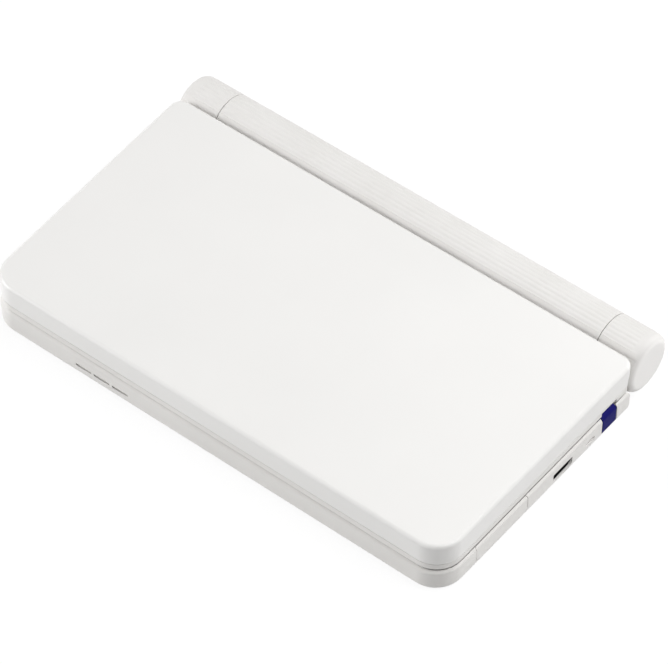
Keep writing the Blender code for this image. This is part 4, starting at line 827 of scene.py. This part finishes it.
# the key deck, its keys and their printed legends

deck = {"inset": 2.3, "rim": (1.65, 1.1), "rear": 27.17, "low": 6.2, "rimLow": 7.0, "top": 7.8, "well": (130.0, 49.0),
        "wellY": -13.35, "wellLow": 7.0, "notchX": 59.8, "notchY": 24.1, "headRoom": 2.1, "edge": 0.1,
        "bodyTop": 7.4, "bodyRadii": (5.7, 5.7, 1.5, 1.5), "rimRadii": (6.95, 6.95, 1.5, 1.5), "wellCorner": 4.0,
        "cut": (5, 9), "notchRear": 32, "holeTop": 7.5}
keys = {"lip": 1.0, "crown": 0.3, "capCorner": 2.38, "padCorner": 4.6, "legend": 3.3, "ink": 0.02}


def keyCaps():
    for name, node in sorted(nodes.items()):
        if name.startswith("key_") and name not in ("key_deck", "key_mat") or name == "cursor_pad":
            low, high = (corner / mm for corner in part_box(name))
            yield name, low, high


def makeDeck():
    front = case["front"] + deck["inset"]
    bodyCorners = planCorners(deck["inset"], front, deck["rear"] - gap)
    body = slab(bodyCorners, deck["bodyRadii"], deck["low"], deck["bodyTop"], 8)
    sideRim, frontRim = deck["rim"]
    rimCorners = planCorners(sideRim, case["front"] + frontRim, deck["rear"])
    rim = slab(rimCorners, deck["rimRadii"], deck["rimLow"], deck["top"], 8)
    low, high = deck["cut"]
    rooms = [doorForm(gap, base["doorDepth"]), sideBlock(*siloY, low, high, deck["headRoom"])]
    bm = carve(carve(rim, [body], "UNION"), rooms)
    well = slab(boxCorners(*deck["well"], (0, deck["wellY"])), [deck["wellCorner"]] * 4, deck["wellLow"], high, 8)
    notch = block((-deck["notchX"], deck["notchY"], low), (deck["notchX"], deck["notchRear"], high))
    holes = []
    for name, near, far in keyCaps():
        width, depth = far.x - near.x - keys["lip"] + 2 * gap, far.y - near.y - keys["lip"] + 2 * gap
        centre = ((near.x + far.x) / 2, (near.y + far.y) / 2)
        corner = (keys["padCorner"] if name == "cursor_pad" else keys["capCorner"]) + gap
        holes.append(slab(boxCorners(width, depth, centre), [corner] * 4, low, deck["holeTop"], 6))
    bm = carve(bm, [well, notch])
    for hole in holes:
        bm = carve(bm, [hole])
    addPiece("keyDeck", bm, deckAbs, "base", ("key_deck",), deck["edge"])


def flatShape(points, centre, level):
    return slab([(centre[0] + x, centre[1] + y) for x, y in points], [], level, level + keys["ink"])


def arrow(angle, size, shift=0.0):
    # a triangle that points along angle, as a list of plan points
    turn = math.radians(angle)
    points = [(shift + size, 0), (shift - size * 0.5, size * 0.8), (shift - size * 0.5, -size * 0.8)]
    return [(x * math.cos(turn) - y * math.sin(turn), x * math.sin(turn) + y * math.cos(turn)) for x, y in points]


def bar(x, y, width, depth):
    return boxCorners(width, depth, (x, y))


def legendShapes(name):
    if name == "key_shift":
        return [arrow(90, 1.1, 0.5), bar(0, -0.9, 0.8, 1.4)]
    if name == "key_delete":
        return [arrow(180, 1.1, 0.9), bar(1.0, 0, 2.8, 0.5)]
    if name == "key_enter":
        return [arrow(180, 1.0, 1.1), bar(0.6, 0, 2.9, 0.45), bar(1.83, 0.75, 0.45, 1.5)]
    if name == "key_back":
        return [arrow(180, 1.1, 0.2), arrow(180, 1.1, -1.4)]
    if name == "key_menu":
        return [bar(0, 1.1, 3.2, 0.45), bar(0, 0, 3.2, 0.45), bar(0, -1.1, 3.2, 0.45)]
    shapes = [arrow(a, 0.9, 7.6 if a % 180 == 0 else 2.9) for a in (0, 90, 180, 270)]
    return shapes + [[(1.1 * math.cos(math.tau * i / 20), 1.1 * math.sin(math.tau * i / 20)) for i in range(20)]]


def letterMesh(letter, centre, level):
    curve = bpy.data.curves.new("letter", "FONT")
    curve.body = letter
    curve.size = keys["legend"]
    curve.align_x = "CENTER"
    curve.align_y = "CENTER"
    curve.extrude = keys["ink"] / 2
    curve.resolution_u = 3
    holder = link("letter", curve)
    mesh = bakedMesh(holder)
    bpy.data.objects.remove(holder)
    bm = bmesh.new()
    bm.from_mesh(mesh)
    bmesh.ops.scale(bm, vec=(mm, mm, mm), verts=bm.verts[:])
    offset = (centre[0] * mm, centre[1] * mm, (level + keys["ink"] / 2) * mm)
    bmesh.ops.translate(bm, vec=offset, verts=bm.verts[:])
    return bm


def makeKeys():
    for name, low, high in keyCaps():
        centre = ((low.x + high.x) / 2, (low.y + high.y) / 2)
        size = (high.x - low.x - keys["lip"], high.y - low.y - keys["lip"])
        corner = keys["padCorner"] if name == "cursor_pad" else keys["capCorner"]
        bm = slab(boxCorners(*size, centre), [corner] * 4, low.z, high.z, 6)
        roundRim(bm, high.z, keys["crown"], 4)
        label = name.replace("key_", "").replace("_", " ").title().replace(" ", "")
        addPiece(f"key{label}Cap", bm, keyCap, name, (name,))
        level = high.z - keys["ink"] / 4
        if len(label) == 1:
            ink = letterMesh(label, centre, level)
        else:
            ink = bmesh.new()
            for shape in legendShapes(name):
                mesh = meshOf("shape", flatShape(shape, centre, level))
                ink.from_mesh(mesh)
        addPiece(f"key{label}Legend", ink, legendInk, name)


makeDeck()
makeKeys()
print("keyboard ready")

# CAD nodes that stay as they are, with their finishes

finishes = {
    "touch_panel": panelGlass, "display_module": socketSteel, "card_socket": socketSteel,
    "speaker": blackPbt, "earphone_jack": blackPbt, "main_board": boardMask, "key_mat": matSilicone,
    "battery_cell_right": rightSleeve, "battery_cell_left": leftSleeve, "contact_plate": contactNickel,
    "contact_spring": contactNickel, "hinge_shaft_left": shaftSteel, "hinge_shaft_right": shaftSteel,
}
for name, material in finishes.items():
    for slotOf in nodes[name].material_slots:
        slotOf.material = material
print("inner pieces finished")

# floor, light and camera

stage = {
    "size": 6.0, "paper": "#DADADA", "glow": 1.12, "glowShare": 0.8, "ambient": 0.06,
    "fibreSize": 0.8, "fibreDepth": 0.02,
}


def makeFloor():
    bm = bmesh.new()
    bmesh.ops.create_grid(bm, x_segments=1, y_segments=1, size=stage["size"] / 2)
    floor = link("floor", meshOf("floor", bm))
    # seen directly or in a reflection the paper is almost pure white, but it still takes the object's soft shadow
    material, tree, place = startMaterial("white paper sweep")
    path = addNode(tree, "ShaderNodeLightPath")
    seen = addNode(tree, "ShaderNodeMath", {0: path.outputs["Is Camera Ray"], 1: path.outputs["Is Glossy Ray"]},
                   operation="MAXIMUM")
    seen = addNode(tree, "ShaderNodeMath", {0: seen.outputs[0], 1: path.outputs["Is Transmission Ray"]},
                   operation="MAXIMUM")
    share = addNode(tree, "ShaderNodeMath", {0: seen.outputs[0], 1: stage["glowShare"]}, operation="MULTIPLY")
    fibres = addNode(tree, "ShaderNodeTexNoise", {
        "Vector": place, "Scale": 1 / (stage["fibreSize"] * mm), "Detail": 3.0,
    })
    bump = addNode(tree, "ShaderNodeBump", {
        "Height": fibres.outputs["Fac"], "Strength": 0.1, "Distance": stage["fibreDepth"] * mm,
    })
    paper = addNode(tree, "ShaderNodeBsdfDiffuse", {"Color": linear(stage["paper"]), "Normal": bump.outputs["Normal"]})
    glow = addNode(tree, "ShaderNodeEmission", {"Strength": stage["glow"]})
    mixed = addNode(tree, "ShaderNodeMixShader", {0: share.outputs[0]})
    tree.links.new(paper.outputs[0], mixed.inputs[1])
    tree.links.new(glow.outputs[0], mixed.inputs[2])
    addNode(tree, "ShaderNodeOutputMaterial", {"Surface": mixed.outputs[0]})
    floor.data.materials.append(material)


def makeWorld():
    world = bpy.data.worlds.new("white studio")
    bpy.context.scene.world = world
    world.use_nodes = True
    tree = world.node_tree
    tree.nodes.clear()
    path = addNode(tree, "ShaderNodeLightPath")
    seen = addNode(tree, "ShaderNodeMath", {0: path.outputs["Is Camera Ray"], 1: path.outputs["Is Glossy Ray"]},
                   operation="MAXIMUM")
    seen = addNode(tree, "ShaderNodeMath", {0: seen.outputs[0], 1: path.outputs["Is Transmission Ray"]},
                   operation="MAXIMUM")
    strength = addNode(tree, "ShaderNodeMapRange", {
        "Value": seen.outputs[0], "To Min": stage["ambient"], "To Max": 1.0,
    })
    sky = addNode(tree, "ShaderNodeBackground", {"Color": (1, 1, 1, 1), "Strength": strength.outputs["Result"]})
    addNode(tree, "ShaderNodeOutputWorld", {"Surface": sky.outputs[0]})


lamps = {  # direction it comes from, distance and side in metres, watts
    "overhead softbox": ((0.70, 0.15, 1.0), 1.0, 0.6, 5.6),
    "rear overhead softbox": ((0.0, 0.7, 1.0), 1.3, 0.9, 3.9),
    "left softbox": ((-0.80, -0.62, 0.32), 1.4, 0.9, 15.6),
    "rear softbox": ((0.5, 1.0, 0.5), 1.4, 0.9, 6.6),
}


def makeLamps():
    for name, (direction, distance, side, watts) in lamps.items():
        data = bpy.data.lights.new(name, "AREA")
        data.shape = "SQUARE"
        data.size = side
        data.energy = watts
        lamp = link(name, data)
        toward = Vector(direction).normalized()
        lamp.location = toward * distance
        lamp.rotation_euler = toward.to_track_quat("Z", "Y").to_euler()


view = {  # fitted to the photograph's straight edges
    "azimuth": 38.0, "elevation": 50.19, "focalPixels": 3758.0, "imageWidth": 668.0, "sensor": 36.0, "clip": (0.05, 50),
    "distance": 941.8, "across": 6.97, "up": -3.92, "aim": (0.0, -6.95, 17.5),
}


def makeCamera():
    a, e = math.radians(view["azimuth"]), math.radians(view["elevation"])
    back = Vector((math.sin(a) * math.cos(e), -math.cos(a) * math.cos(e), math.sin(e)))
    right = Vector((math.cos(a), math.sin(a), 0))
    up = back.cross(right)
    data = bpy.data.cameras.new("camera")
    data.sensor_fit = "HORIZONTAL"
    data.sensor_width = view["sensor"]
    data.lens = data.sensor_width * view["focalPixels"] / view["imageWidth"]
    data.clip_start, data.clip_end = view["clip"]
    camera = link("camera", data)
    spot = Vector(view["aim"]) + back * view["distance"] + right * view["across"] + up * view["up"]
    pose = Matrix((right, up, back)).transposed().to_4x4()
    camera.matrix_world = Matrix.Translation(spot * mm) @ pose
    bpy.context.scene.camera = camera


makeFloor()
makeWorld()
makeLamps()
makeCamera()
bpy.context.scene.view_settings.view_transform = "Standard"
print("stage ready")

bpy.context.view_layer.update()
